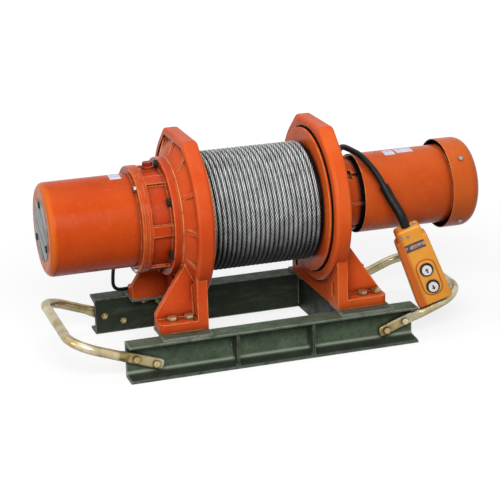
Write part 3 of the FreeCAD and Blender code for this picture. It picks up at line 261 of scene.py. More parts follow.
    def finish(self, colour, roughness, **constants):
        self.link(colour, self.shader.inputs["Base Color"])
        self.link(roughness, self.shader.inputs["Roughness"])
        for key, value in constants.items():
            self.shader.inputs[key.replace("_", " ")].default_value = value
        return self.material


# Orange enamel: tones where it has changed, and painted light and shade
CHALKED = srgb(228, 118, 56)
BURNT = srgb(150, 46, 16)
# Painted shade in recesses, and in tight corners and joints
RECESS_SHADE = srgb(138, 36, 12)
CORNER_SHADE = srgb(66, 22, 10)
# Worn edges that also carry a painted highlight
WORN_EDGE_HIGHLIGHT = srgb(246, 176, 108)
# Painted light on a lit end
PAINTED_END_LIGHT = srgb(218, 112, 40)
# Painted shade in gaps and hollows
HOLLOW_SHADE = srgb(18, 14, 12)
# Its grain: scale, and depth in metres
SHEET_GRAIN = (330.0, 0.00035)
CAST_GRAIN = (190.0, 0.0009)
DRUM_GRAIN = (190.0, 0.0006)
# Millimetres in which the painted shade of gaps and hollows fades in, away from the axis and along it
GAP_FADE = 0.4
STATION_FADE = 1.0


def orange_paint(name, low, high, grain, dark_past=None, dark_inside=None, dark_outside=None, pale_end=None,
                 shade=0.6, gloss=0.11):
    """Orange enamel, fine-grained on sheet and coarser on castings, with painted shade in gaps and hollows.

    dark_past and pale_end are a station along the axis and its fade. dark_inside is a radius and the station
    where the hollow ends, dark_outside a radius and the station where the rim starts. These three paint
    shade, pale_end paints light on a lit end, and shade sets the painted shade in recesses.
    """
    make = Finish(name)
    colour = make.mix(make.patches(7.0, 0.3, 0.7), low, high)
    colour = make.mix(make.patches(90.0, 0.58, 0.76, 5.0), colour, CHALKED, 0.25)
    colour = make.mix(make.patches(16.0, 0.55, 0.8, 6.0, 0.7, (1.0, 1.0, 0.35)), colour, BURNT, 0.4)
    # Edges lighter, partly as wear and partly as painted highlight
    worn_and_highlit = make.both(make.edges(0.004, 0.015, 0.12), make.patches(40.0, 0.28, 0.54))
    # Painted shade in recesses, then in tight corners and joints
    colour = make.mix(make.occlusion_shade(0.045, 0.45, 0.95), colour, RECESS_SHADE, shade)
    colour = make.mix(make.occlusion_shade(0.014, 0.35, 0.9), colour, CORNER_SHADE, 0.8)
    colour = make.mix(worn_and_highlit, colour, WORN_EDGE_HIGHLIGHT, 0.7)
    # Painted light on the lit end
    if pale_end:
        colour = make.mix(make.inverse(make.beyond(*pale_end)), colour, PAINTED_END_LIGHT, 0.7)
    # Painted shade in gaps and hollows: past a station, inside a radius and outside one
    if dark_past:
        colour = make.mix(make.beyond(*dark_past), colour, HOLLOW_SHADE)
    if dark_inside:
        radius, end = dark_inside
        hollow = make.both(make.within(radius, GAP_FADE), make.inverse(make.beyond(end, STATION_FADE)))
        colour = make.mix(hollow, colour, HOLLOW_SHADE)
    if dark_outside:
        radius, start = dark_outside
        rim = make.both(make.inverse(make.within(radius, GAP_FADE)), make.beyond(start, STATION_FADE))
        colour = make.mix(rim, colour, HOLLOW_SHADE)
    rough = make.spread(make.noise(30.0, 4.0), 0.3, 0.7, 0.22, 0.36)
    grain_scale, grain_depth = grain
    make.relief(make.noise(grain_scale, 2.0), grain_depth, 0.5, 0.0014)
    return make.finish(colour, rough, Specular_IOR_Level=gloss)


# Rail paint: mill scale that shows through it, rust, painted shade and highlight, and worn edges with painted
# highlight
SCALE_PALE = srgb(112, 122, 102)
SCALE_DARK = srgb(28, 33, 25)
RUST = srgb(88, 64, 44)
LOW_FLANGE_SHADE = srgb(26, 29, 24)
ROOT_HIGHLIGHT = srgb(158, 166, 152)
RAIL_CORNER_SHADE = srgb(22, 22, 16)
EDGE_WEAR_AND_HIGHLIGHT = srgb(164, 172, 160)
# Heights on a rail's low flange: top of its toe, and the fillet between it and the web
TOE_HIGH = 8.0
ROOT_LOW = 11.0
ROOT_HIGH = 16.0


def rail_paint(name, low, high, wear_and_highlight=0.9, shaded_flange=False):
    """Thin dark green paint over mill scale, lighter along the edges as wear and painted highlight.

    On a rail with a shaded low flange, painted shade lies on that flange and a painted highlight in its root.
    """
    make = Finish(name)
    colour = make.mix(make.patches(24.0, 0.24, 0.76, 5.0, 0.65), low, high)
    colour = make.mix(make.patches(30.0, 0.5, 0.78, 5.0, 0.65, (0.25, 1.0, 1.6)), colour, SCALE_PALE, 0.35)
    colour = make.mix(make.patches(140.0, 0.52, 0.66, 4.0, 0.7), colour, SCALE_DARK, 0.45)
    colour = make.mix(make.patches(42.0, 0.6, 0.76, 6.0, 0.7), colour, RUST, 0.4)
    # Painted shade on the low flange, and a painted highlight along its root
    if shaded_flange:
        colour = make.mix(make.upward(ROOT_LOW, TOE_HIGH), colour, LOW_FLANGE_SHADE, 0.75)
        root = make.both(make.upward(TOE_HIGH, ROOT_LOW), make.upward(ROOT_HIGH, ROOT_LOW))
        colour = make.mix(root, colour, ROOT_HIGHLIGHT, 0.75)
    # Painted shade in corners
    colour = make.mix(make.occlusion_shade(0.012, 0.3, 0.8), colour, RAIL_CORNER_SHADE, 0.75)
    # Edges lighter as wear and painted highlight
    worn_and_highlit = make.both(make.edges(0.0046, 0.015, 0.1), make.patches(45.0, 0.28, 0.54, 5.0))
    colour = make.mix(worn_and_highlit, colour, EDGE_WEAR_AND_HIGHLIGHT, wear_and_highlight)
    rough = make.spread(make.noise(40.0, 4.0), 0.3, 0.7, 0.4, 0.64)
    make.relief(make.noise(150.0, 4.0), 0.0008, 0.6, 0.0012)
    return make.finish(colour, rough, Specular_IOR_Level=0.14)


def bare_metal(name, dark, light, scale, rough, stretch=None, turn=(0.0, 0.0, 0.0), metal=0.9, gloss=0.5):
    """Metal with a drifting tone; stretch lays the drift along a direction, as brushing or drawing does."""
    make = Finish(name)
    drift = make.noise(scale, 4.0, 0.6, stretch, turn)
    colour = make.mix(make.spread(drift, 0.32, 0.68), dark, light)
    # Painted shade in tight corners
    colour = make.mix(make.occlusion_shade(0.006, 0.3, 0.8), colour, srgb(26, 24, 20), 0.6)
    low, high = rough
    roughness = make.spread(make.noise(scale * 2, 4.0, 0.6, stretch, turn), 0.3, 0.7, low, high)
    make.relief(drift, 0.0002, 0.35, 0.0008)
    return make.finish(colour, roughness, Metallic=metal, Specular_IOR_Level=gloss)


# Station past which the small screws are zinc-plated, and its fade
ZINC_SCREWS = (-452.0, 2.0)


def screw_metal():
    """Zinc-plated screws, and blackened ones round the end plate."""
    make = Finish("screw_metal")
    zinc = make.mix(make.patches(60.0, 0.3, 0.7), srgb(132, 132, 126), srgb(186, 186, 178))
    zinc = make.mix(make.patches(90.0, 0.6, 0.76), zinc, srgb(120, 84, 52), 0.6)
    black = make.mix(make.patches(80.0, 0.3, 0.7), srgb(20, 20, 18), srgb(44, 43, 40))
    colour = make.mix(make.beyond(*ZINC_SCREWS), black, zinc)
    rough = make.spread(make.noise(120.0), 0.3, 0.7, 0.3, 0.48)
    make.relief(make.noise(300.0, 3.0), 0.0002, 0.35, 0.0008)
    return make.finish(colour, rough, Metallic=0.7)


def yellow_zinc(name, pale, gold, olive, scuffed, corner, shade, metal):
    """Chromated zinc: straw that drifts to olive and to pink, and is dull where it was scuffed.

    corner is the reach of painted shade in tight corners in metres, and shade the strength of painted shade
    beneath.
    """
    make = Finish(name)
    pink = srgb(188, 138, 112)
    colour = make.mix(make.patches(13.0, 0.4, 0.6), pale, gold)
    colour = make.mix(make.patches(15.0, 0.5, 0.7, 4.0, 0.6, (1.0, 1.3, 1.0)), colour, olive, 0.75)
    colour = make.mix(make.patches(19.0, 0.55, 0.74, 4.0, 0.6, (1.4, 1.0, 1.0)), colour, pink, 0.5)
    colour = make.mix(make.patches(70.0, 0.6, 0.76, 6.0, 0.7), colour, scuffed, 0.7)
    # Painted shade in tight corners, then on the underside
    colour = make.mix(make.occlusion_shade(corner, 0.5, 0.97), colour, srgb(34, 27, 16), 0.85)
    colour = make.mix(make.occlusion_shade(0.14, 0.12, 0.5), colour, srgb(60, 52, 30), shade)
    rough = make.spread(make.noise(35.0, 4.0), 0.3, 0.7, 0.2, 0.34)
    make.relief(make.noise(220.0, 3.0), 0.0002, 0.3, 0.001)
    return make.finish(colour, rough, Metallic=metal)


def rope_wire():
    """Galvanised strands: bright crowns, painted shade between strands and turns and on the underside."""
    make = Finish("rope_wire")
    groove = make.node("ShaderNodeAttribute", attribute_name="groove").outputs["Fac"]
    sunk = make.node("ShaderNodeAttribute", attribute_name="sunk").outputs["Fac"]
    silver = make.mix(make.patches(45.0, 0.3, 0.7), srgb(180, 184, 185), srgb(238, 242, 242))
    silver = make.mix(make.patches(130.0, 0.55, 0.72, 3.0), silver, srgb(128, 112, 118), 0.45)
    # Painted shade in the grooves between strands, between turns, and on the underside
    colour = make.mix(make.spread(groove, 0.12, 0.62), silver, srgb(22, 23, 22), 0.95)
    colour = make.mix(sunk, colour, srgb(10, 11, 10), 0.97)
    colour = make.mix(make.occlusion_shade(0.6, 0.44, 0.62), colour, srgb(8, 9, 8), 0.97)
    rough = make.spread(make.noise(200.0), 0.3, 0.7, 0.3, 0.48)
    make.relief(make.noise(900.0, 2.0), 0.0002, 0.4)
    return make.finish(colour, rough, Specular_IOR_Level=0.06)


def plastic(name, dark, light, rough, scale=22.0, grain=700.0, depth=0.00015, wear_and_highlight=None):
    """Moulded plastic or rubber: fine grain, painted shade in corners, wear and painted highlight on edges.
    """
    make = Finish(name)
    colour = make.mix(make.patches(scale, 0.3, 0.7), dark, light)
    if wear_and_highlight:
        # Edges lighter as wear and painted highlight
        worn_and_highlit = make.both(make.edges(0.0018, 0.03, 0.3), make.patches(80.0, 0.35, 0.7))
        colour = make.mix(worn_and_highlit, colour, wear_and_highlight, 0.6)
    # Painted shade in corners
    colour = make.mix(make.occlusion_shade(0.006, 0.3, 0.8), colour, srgb(30, 22, 14), 0.5)
    low, high = rough
    roughness = make.spread(make.noise(scale * 3, 4.0), 0.3, 0.7, low, high)
    make.relief(make.noise(grain, 2.0), depth, 0.4, 0.001)
    return make.finish(colour, roughness, Specular_IOR_Level=0.18)


# Raised pad round the buttons: its middle, and its half sides and corner
PAD_MIDDLE = (6.0, 61.5, 0.0)
PAD_SIZE = (20.5, 41.0, 18.0)
# Painted shade line and painted highlight line along the pad's edge: start, end and fade
PAD_SHADE = (17.4, 19.2, 1.6)
PAD_HIGHLIGHT = (13.6, 15.8, 0.8)
# Hand control: places across it between which painted shade darkens its left side, and depths where its front
# begins
LEFT_SIDE_SHADE = (-15.0, -24.0)
FRONT = (-14.0, -19.0)


def amber_shell():
    """Moulded amber plastic, darker and redder as painted shade along its left edge and round the buttons."""
    make = Finish("amber_plastic")
    colour = make.mix(make.patches(22.0, 0.3, 0.7), srgb(226, 146, 48), srgb(240, 164, 64))
    # Painted shade along the left side
    left_shade = make.along(PENDANT_ACROSS, *(on_pendant(across, 0, 0) for across in LEFT_SIDE_SHADE))
    colour = make.mix(left_shade, colour, srgb(188, 80, 24), 0.85)
    # Edges lighter as wear and painted highlight
    worn_and_highlit = make.both(make.edges(0.0018, 0.03, 0.3), make.patches(80.0, 0.35, 0.65))
    colour = make.mix(worn_and_highlit, colour, srgb(244, 190, 110), 0.6)
    front = make.along(PENDANT_DEEP, *(on_pendant(0, 0, depth) for depth in FRONT))
    reach = make.from_panel(on_pendant(*PAD_MIDDLE), *PAD_SIZE)
    # Painted highlight, then painted shade, along the edge of the pad round the buttons
    colour = make.mix(make.both(front, make.band(reach, *PAD_HIGHLIGHT)), colour, srgb(250, 196, 110), 0.6)
    colour = make.mix(make.both(front, make.band(reach, *PAD_SHADE)), colour, srgb(164, 74, 16), 0.7)
    # Painted shade in corners
    colour = make.mix(make.occlusion_shade(0.005, 0.45, 0.95), colour, srgb(150, 62, 14), 0.4)
    rough = make.spread(make.noise(66.0, 4.0), 0.3, 0.7, 0.36, 0.5)
    make.relief(make.noise(700.0, 2.0), 0.00015, 0.4, 0.001)
    return make.finish(colour, rough, Specular_IOR_Level=0.3)


# Heights on the hand control between which the label's band begins, from below and from above
BAND_LOW = (135.0, 137.0)
BAND_HIGH = (145.0, 143.0)


def label_plate():
    """Dark label with a faded band across its middle and no lettering."""
    make = Finish("dark_label_plate")
    colour = make.mix(make.patches(90.0, 0.3, 0.7), srgb(40, 44, 46), srgb(84, 88, 90))
    from_below = make.along(PENDANT_UP, *(on_pendant(0, height, 0) for height in BAND_LOW))
    from_above = make.along(PENDANT_UP, *(on_pendant(0, height, 0) for height in BAND_HIGH))
    band = make.both(from_below, from_above)
    faded = make.mix(make.patches(160.0, 0.35, 0.65), srgb(160, 70, 62), srgb(208, 176, 172))
    colour = make.mix(make.both(band, make.patches(110.0, 0.36, 0.5)), colour, faded, 0.9)
    make.relief(make.noise(500.0, 2.0), 0.0001, 0.4, 0.0006)
    return make.finish(colour, make.spread(make.noise(120.0), 0.3, 0.7, 0.3, 0.46), Specular_IOR_Level=0.35)


# Floor: tones that the eye sees, and the tone that light meets on its way back up
FLOOR_SEEN = (srgb(136, 136, 136), srgb(140, 140, 140))
FLOOR_UNSEEN = srgb(84, 84, 84)
# Distance from the middle in metres, and the floor's glow there
GLOW_NEAR = (0.7, 0.78)
GLOW_FAR = (2.2, 1.0)


def floor_paint():
    """White studio floor: bright to the eye, shaded under the winch, dark to the light it throws back up."""
    make = Finish("studio_floor")
    path = make.node("ShaderNodeLightPath").outputs
    seen = make.either(path["Is Camera Ray"], path["Is Glossy Ray"])
    seen = make.either(seen, path["Is Transmission Ray"])
    tone = make.mix(seen, FLOOR_UNSEEN, make.mix(make.patches(1.5, 0.3, 0.7), *FLOOR_SEEN))
    make.finish(tone, make.spread(make.noise(3.0), 0.3, 0.7, 0.8, 0.9), Specular_IOR_Level=0.05)
    away = make.vector_math("LENGTH", make.place)["Value"]
    glow = make.spread(away, GLOW_NEAR[0], GLOW_FAR[0], GLOW_NEAR[1], GLOW_FAR[1])
    make.link(make.both(seen, glow), make.shader.inputs["Emission Strength"])
    make.shader.inputs["Emission Color"].default_value = (1.0, 1.0, 1.0, 1.0)
    return make.material


# Finishes of the nodes and pieces
# Painted shade on the hub past the shroud's edge, inside the shroud and fan cover, in the recess and at the
# drum's rim
COVER = orange_paint("orange_enamel_cover", srgb(186, 62, 16), srgb(202, 78, 24), SHEET_GRAIN,
                     pale_end=(-450.0, 9.0), gloss=0.07)
CAST = orange_paint("orange_enamel_cast", srgb(198, 66, 26), srgb(214, 90, 42), CAST_GRAIN, gloss=0.05)
RECESS = orange_paint("orange_enamel_recess", srgb(208, 76, 28), srgb(226, 100, 44), CAST_GRAIN,
                      dark_inside=(160.4, 145.0), gloss=0.05)
# Lighter than the other enamels as painted light, and with less painted shade in recesses
DRUM = orange_paint("orange_enamel_drum", srgb(216, 84, 32), srgb(234, 106, 46), DRUM_GRAIN,
                    dark_outside=(156.2, 128.0), shade=0.25, gloss=0.05)
HOUSING = orange_paint("orange_enamel_housing", srgb(178, 52, 14), srgb(196, 68, 22), CAST_GRAIN)
MOTOR = orange_paint("orange_enamel_motor", srgb(196, 78, 26), srgb(214, 94, 36), SHEET_GRAIN,
                     dark_inside=(85.6, 600.0))
FAN = orange_paint("orange_enamel_fan_cover", srgb(200, 88, 32), srgb(218, 106, 44), SHEET_GRAIN,
                   dark_inside=(97.6, 458.0))
HUB = orange_paint("orange_enamel_hub", srgb(186, 66, 20), srgb(204, 82, 28), CAST_GRAIN,
                   dark_past=(215.0, 11.0))
RAIL = rail_paint("dark_green_rail_paint", srgb(58, 70, 54), srgb(98, 114, 92), shaded_flange=True)
# Ribs, rear rail and cross members take darker copies of the rail paint, as painted shade
RIB = rail_paint("dark_green_rib_paint", srgb(40, 46, 36), srgb(62, 70, 56), wear_and_highlight=0.35)
REAR = rail_paint("dark_green_rear_paint", srgb(34, 41, 32), srgb(52, 60, 48))
CROSS = rail_paint("dark_green_cross_paint", srgb(18, 24, 18), srgb(32, 40, 31), wear_and_highlight=0.6)
PAD = rail_paint("dark_green_pad_paint", srgb(58, 66, 54), srgb(88, 97, 82))
WELD = rail_paint("painted_weld", srgb(56, 56, 46), srgb(100, 98, 84), wear_and_highlight=0.5)
TUBE_ZINC = yellow_zinc("yellow_zinc_tube", srgb(212, 204, 172), srgb(172, 150, 92), srgb(112, 108, 64),
                        srgb(76, 66, 44), corner=0.008, shade=0.9, metal=0.5)
BOLT_ZINC = yellow_zinc("yellow_zinc_bolt", srgb(226, 214, 172), srgb(178, 150, 92), srgb(120, 108, 62),
                        srgb(76, 60, 40), corner=0.004, shade=0.1, metal=0.75)
BLACK_STEEL = bare_metal("blackened_steel", srgb(18, 18, 16), srgb(48, 46, 40), 60.0, (0.35, 0.55), metal=0.1,
                         gloss=0.15)
STEEL = bare_metal("bright_steel", srgb(138, 140, 140), srgb(186, 188, 188), 40.0, (0.24, 0.42))
IRON = bare_metal("machined_iron", srgb(104, 106, 106), srgb(150, 152, 152), 30.0, (0.3, 0.5))
PLATE = bare_metal("brushed_plate", srgb(12, 18, 15), srgb(206, 212, 208), 70.0, (0.3, 0.46),
                   stretch=(1.0, 0.14, 1.4), turn=(math.radians(35), 0.0, 0.0), metal=0.0, gloss=0.05)
COPPER = bare_metal("copper_wire", srgb(140, 76, 44), srgb(188, 108, 68), 90.0, (0.3, 0.45))
SCREW = screw_metal()
ROPE = rope_wire()
AMBER = amber_shell()
BLACK = plastic("black_plastic", srgb(18, 18, 18), srgb(34, 34, 33), (0.32, 0.46), wear_and_highlight=srgb(78, 78, 76))
RUBBER = plastic("black_rubber", srgb(10, 11, 11), srgb(26, 27, 26), (0.38, 0.55), 60.0, 500.0, 0.0003)
WHITE = plastic("white_plastic", srgb(222, 220, 224), srgb(240, 238, 242), (0.25, 0.4))
PAPER = plastic("blank_paper_label", srgb(190, 190, 216), srgb(238, 238, 246), (0.5, 0.65), 110.0, 300.0)
LABEL = label_plate()
MARK = plastic("dark_mark", srgb(92, 50, 54), srgb(124, 72, 74), (0.4, 0.55))
PLUG = plastic("red_brown_plug", srgb(112, 22, 12), srgb(150, 38, 22), (0.35, 0.5), wear_and_highlight=srgb(190, 90, 66))

NODE_FINISH = {
    COVER: "brake_cover",
    CAST: "left_bracket",
    RECESS: "right_bracket",
    DRUM: "drum",
    HOUSING: "gear_housing gear_cover",
    MOTOR: "motor_shroud terminal_box",
    FAN: "fan_cover",
    HUB: "motor_end_bell",
    RAIL: "front_rail",
    RIB: "rail_stiffeners",
    REAR: "rear_rail",
    CROSS: "left_cross_member right_cross_member",
    PAD: "foot_pads",
    TUBE_ZINC: "left_handle right_handle",
    BOLT_ZINC: "handle_bolts bracket_bolts motor_bolts",
    BLACK_STEEL: "gear_housing_bolts brake_magnet motor_body rear_end_shield",
    STEEL: "motor_shaft bearings brake_springs",
    SCREW: "cover_screws",
    IRON: "ring_gear planet_1a planet_1b planet_1c planet_2a planet_2b planet_2c carrier_1 carrier_2"
          " rotor_core stator_core brake_disc brake_armature",
    PLATE: "nameplate",
    COPPER: "stator_windings",
    AMBER: "pendant_front_shell pendant_rear_shell",
    BLACK: "button_bezels cable_glands contact_block cooling_fan",
    RUBBER: "cable_sleeve pendant_cable_coil pendant_cable_upper pendant_cable_lower brake_lead",
    WHITE: "button_up button_down",
    LABEL: "pendant_label",
    PLUG: "oil_plug",
    ROPE: "wire_rope",
}


def dress_nodes():
    for material, names in NODE_FINISH.items():
        for name in names.split():
            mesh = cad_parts[name].data
            mesh.materials.clear()
            mesh.materials.append(material)


# Pieces

def new_piece(name, points, faces, material, body, smooth=False):
    """Mesh from points in metres, riding on a body of the frame."""
    mesh = bpy.data.meshes.new(name)
    mesh.from_pydata([tuple(p) for p in points], [], faces)
    mesh.validate()
    if smooth:
        mesh.shade_smooth()
    mesh.materials.append(material)
    piece = bpy.data.objects.new(name, mesh)
    bpy.context.scene.collection.objects.link(piece)
    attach(piece, body)
    return piece


def tube_faces(sections, count, start=0):
    """Quads between neighbouring closed sections of count points, with both ends capped."""
    faces = []
    for row in range(sections - 1):
        for k in range(count):
            here = start + row * count + k
            side = start + row * count + (k + 1) % count
            faces.append((here, side, side + count, here + count))
    faces.append(tuple(reversed(range(start, start + count))))
    last = start + (sections - 1) * count
    faces.append(tuple(range(last, last + count)))
    return faces


def turned(profile, sides):
    """Rings of a turned shape: two places across its axis and one along it for each point."""
    for radius, height in profile:
        for k in range(sides):
            turn = 2 * math.pi * k / sides
            yield radius * math.cos(turn), radius * math.sin(turn), height


def mark_points(piece, **shares):
    """Numbers of the mesh points that the materials read."""
    for name, values in shares.items():
        attribute = piece.data.attributes.new(name, "FLOAT", "POINT")
        attribute.data.foreach_set("value", values)


# Wire rope, wound in one visible layer over the buried ones
ROPE_R = 5.0
ROPE_PITCH = 10.333
ROPE_LAYER_R = 123.8
ROPE_REACH = 118.8      # drum middle to the axis of the outer turns
ROPE_STRANDS = 6
ROPE_LAY = 58.0         # length in which a strand goes once round the rope
STRAND_SHARES = (0.72, 0.985, 0.985)    # groove and crown radii of a strand, of the rope's outside
ROPE_STEPS = 216        # sections in one turn
DIVE_STEPS = 26         # sections over which an end sinks under the outer layer
DIVE = 7.0
SUNK_SHADE_START = 0.74     # cosine of the angle from the outward side where painted shade between turns starts
SUNK_SHADE_FADE = 0.62      # fall of that cosine to full painted shade
CORE_R = 119.6
CORE_REACH = 123.6
CORE_RIPPLE = 0.8
CORE_ROWS = 4           # sections in one ripple
CORE_SIDES = 96


def make_rope():
    sections = int(2 * ROPE_REACH / ROPE_PITCH * ROPE_STEPS) + 1
    count = ROPE_STRANDS * len(STRAND_SHARES)
    points = []
    groove = []
    sunk = []
    for row in range(sections):
        turn = 2 * math.pi * row / ROPE_STEPS
        dive = max(0.0, 1 - min(row, sections - 1 - row) / DIVE_STEPS)
        radius = ROPE_LAYER_R - DIVE * dive * dive
        x = -ROPE_REACH + ROPE_PITCH * row / ROPE_STEPS
        twist = radius * turn * 2 * math.pi / ROPE_LAY
        for side in range(count):
            angle = 2 * math.pi * side / count - twist
            share = STRAND_SHARES[side % len(STRAND_SHARES)]
            out = radius + ROPE_R * share * math.cos(angle)
            along = x + ROPE_R * share * math.sin(angle)
            points.append(at(along, -out * math.sin(turn), AXIS_Z + out * math.cos(turn)))
            # Marks for painted shade in the grooves and between turns
            groove.append(1.0 if side % len(STRAND_SHARES) == 0 else 0.0)
            sunk.append(max(0.0, min(1.0, (SUNK_SHADE_START - math.cos(angle)) / SUNK_SHADE_FADE)))
    faces = tube_faces(sections, count)
    rope = new_piece("rope_turns", points, faces, ROPE, "drum", smooth=True)
    mark_points(rope, groove=groove, sunk=sunk)
    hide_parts("wire_rope")


def make_rope_core():
    """Buried layers under the outer turns, ribbed at the same pitch."""
    rows = int(2 * CORE_REACH / ROPE_PITCH) * CORE_ROWS
    points = []
    for row in range(rows + 1):
        x = -CORE_REACH + 2 * CORE_REACH * row / rows
        radius = CORE_R - CORE_RIPPLE + CORE_RIPPLE * math.cos(2 * math.pi * x / ROPE_PITCH)
        points += [at(*around(x, 360 * k / CORE_SIDES, radius)) for k in range(CORE_SIDES)]
    faces = tube_faces(rows + 1, CORE_SIDES)
    core = new_piece("rope_core", points, faces, ROPE, "drum", smooth=True)
    # Dark all over, as painted shade under the outer turns
    mark_points(core, groove=[1.0] * len(points), sunk=[1.0] * len(points))


# Blank stickers on the covers: span along the drum axis, degrees from the top towards the front, and the
# radius under them
STICKERS = {
    "cover_sticker": ((-308.0, -284.0), (-20.0, 12.0), 99.0),
    "shroud_sticker": ((304.0, 328.0), (-2.0, 16.0), 86.5),
    "shroud_long_sticker": ((333.0, 372.0), (-6.0, 13.0), 86.5),
}
STICKER_OUT = 0.2
STICKER_WAVE = 0.5      # share by which the sticker's height over the paint varies
STICKER_IN = 0.15
STICKER_ROWS = 14
TOP = 90                # degrees of the top, round the drum axis


def make_stickers():
    for name, ((x0, x1), (a0, a1), radius) in STICKERS.items():
        points = []
        for row in range(STICKER_ROWS + 1):
            angle = TOP + a0 + (a1 - a0) * row / STICKER_ROWS
            lift = STICKER_OUT * (1 + STICKER_WAVE * math.cos(row))
            corners = ((x0, lift), (x1, lift), (x1, -STICKER_IN), (x0, -STICKER_IN))
            points += [at(*around(x, angle, radius + out)) for x, out in corners]
        new_piece(name, points, tube_faces(STICKER_ROWS + 1, len(corners)), PAPER, "frame")


# Screw heads on the end plate: face of the plate, ring, degrees round the axis, and each head's profile
PLATE_FACE = -456.0
PLATE_SCREW_RING = 55.0
PLATE_SCREW_TURNS = (90.0, 210.0, 330.0)
PLATE_SCREW_PROFILE = ((8.2, -0.3), (8.2, 0.9), (7.2, 1.0), (7.2, 2.2), (6.0, 2.9))
PLATE_SCREW_SIDES = 18


def make_plate_screws():
    points = []
    faces = []
    for turn in PLATE_SCREW_TURNS:
        x, y, z = around(PLATE_FACE, turn, PLATE_SCREW_RING)
        faces += tube_faces(len(PLATE_SCREW_PROFILE), PLATE_SCREW_SIDES, len(points))
        points += [at(x - out, y + u, z - v) for u, v, out in turned(PLATE_SCREW_PROFILE, PLATE_SCREW_SIDES)]
    new_piece("plate_screw_heads", points, faces, BLACK_STEEL, "frame")


# Weld beads: seats of the feet, cross members on the rails' backs, and ribs on the web and on the low flange
PAD_SPANS = ((-249.0, -144.0), (144.0, 259.0))
PAD_EDGE_Y = 176.6
PAD_FOOT_Z = 80.6
PAD_WELD_R = 2.6
PAD_END_R = 2.4
PAD_END_OUT = 0.6       # bead middle past the pad's end
PAD_END_IN = 2.0        # start of the bead from the rail's back
RAIL_BACK_Y = 136.0
CROSS_BACKS = (-144.5, 153.5)
CROSS_WELD_R = 2.4
CROSS_WELD_IN = 0.6     # bead middle from the rail's back
CROSS_WELD_LOW = 6.0
CROSS_WELD_HIGH = 74.0
RIB_STATIONS = (-91.0, 77.0)
RIB_HALF = 3.4
RIB_WELD_R = 1.8
RIB_WEB_Y = 142.4
RIB_WEB_LOW = 34.0
RIB_WEB_HIGH = 46.0
RIB_FLANGE_Z = 7.0
RIB_FLANGE_IN = 168.5
RIB_FLANGE_OUT = 178.0
# The bead's own form: step along it, pitch and height of its ripples, and the steps in which an end swells
WELD_SIDES = 8
WELD_STEP = 0.9
WELD_PITCH = 3.4
WELD_RIPPLE = 0.14
WELD_JITTER = 0.06
WELD_END_STEPS = 3
WELD_END_START = 0.6    # swelling of the very end, in steps
WELD_SEED = 7


def weld_runs():
    """Radius and the two ends of each bead."""
    runs = []
    for side in (-1, 1):
        edge = side * PAD_EDGE_Y
        for x0, x1 in PAD_SPANS:
            runs.append((PAD_WELD_R, (x0, edge, PAD_FOOT_Z), (x1, edge, PAD_FOOT_Z)))
            for x in (x0 - PAD_END_OUT, x1 + PAD_END_OUT):
                start = side * (RAIL_BACK_Y + PAD_END_IN)
                runs.append((PAD_END_R, (x, start, PAD_FOOT_Z), (x, edge, PAD_FOOT_Z)))
        for x in CROSS_BACKS:
            back = side * (RAIL_BACK_Y - CROSS_WELD_IN)
            runs.append((CROSS_WELD_R, (x, back, CROSS_WELD_LOW), (x, back, CROSS_WELD_HIGH)))
        for station in RIB_STATIONS:
            for x in (station - RIB_HALF, station + RIB_HALF):
                web = side * RIB_WEB_Y
                runs.append((RIB_WELD_R, (x, web, RIB_WEB_LOW), (x, web, RIB_WEB_HIGH)))
                inner, outer = side * RIB_FLANGE_IN, side * RIB_FLANGE_OUT
                runs.append((RIB_WELD_R, (x, inner, RIB_FLANGE_Z), (x, outer, RIB_FLANGE_Z)))
    return runs


def make_welds():
    rng = random.Random(WELD_SEED)
    points = []
    faces = []
    for radius, start, end in weld_runs():
        first, last = Vector(start), Vector(end)
        ahead = (last - first).normalized()
        side = ahead.orthogonal().normalized()
        over = ahead.cross(side)
        steps = int((last - first).length / WELD_STEP)
        faces += tube_faces(steps + 1, WELD_SIDES, len(points))
        for row in range(steps + 1):
            ripple = 1 + WELD_RIPPLE * math.sin(2 * math.pi * row * WELD_STEP / WELD_PITCH)
            ripple += rng.uniform(-WELD_JITTER, WELD_JITTER)
            swell = min(1.0, (min(row, steps - row) + WELD_END_START) / WELD_END_STEPS)
            middle = first + (last - first) * row / steps
            for k in range(WELD_SIDES):
                turn = 2 * math.pi * k / WELD_SIDES
                outward = side * math.cos(turn) + over * math.sin(turn)
                points.append(at(*(middle + outward * radius * ripple * swell)))
    new_piece("weld_beads", points, faces, WELD, "frame", smooth=True)


# Slotted screws on the neck of the hand control: places across and up, and each half head's inset and depth
NECK_SCREWS = ((-19.0, 168.0), (-5.0, 166.0))
NECK_FACE = -20.0
SCREW_R = 3.2
SCREW_PROFILE = ((0.0, 0.5), (0.0, -1.08), (0.7, -1.8))
SCREW_ARC_STEPS = 10
SLOT_HALF = 0.5
SLOT_FLARE = 0.2        # share of the inset by which the slot widens
# Studs on its upper end: places across and deep, and their profile
STUDS = ((10.0, -6.0), (19.0, -6.0))
STUD_FOOT = 181.0
STUD_PROFILE = ((2.6, 0.0), (2.6, 1.0), (1.7, 1.3), (1.7, 3.6), (2.4, 3.9), (2.4, 5.2), (1.6, 5.9))
STUD_SIDES = 14
# Arrows on the buttons: height of each button and the way that its arrow points
BUTTON_ACROSS = 6.0
BUTTON_HEIGHTS = {"button_up": (82.0, 1), "button_down": (41.0, -1)}
CAP_FACE = -32.0
MARK_OUT = 0.35
MARK_IN = 0.3
ARROW = ((0.0, 6.0), (-4.6, 0.6), (-1.7, 0.6), (-1.7, -5.4), (1.7, -5.4), (1.7, 0.6), (4.6, 0.6))


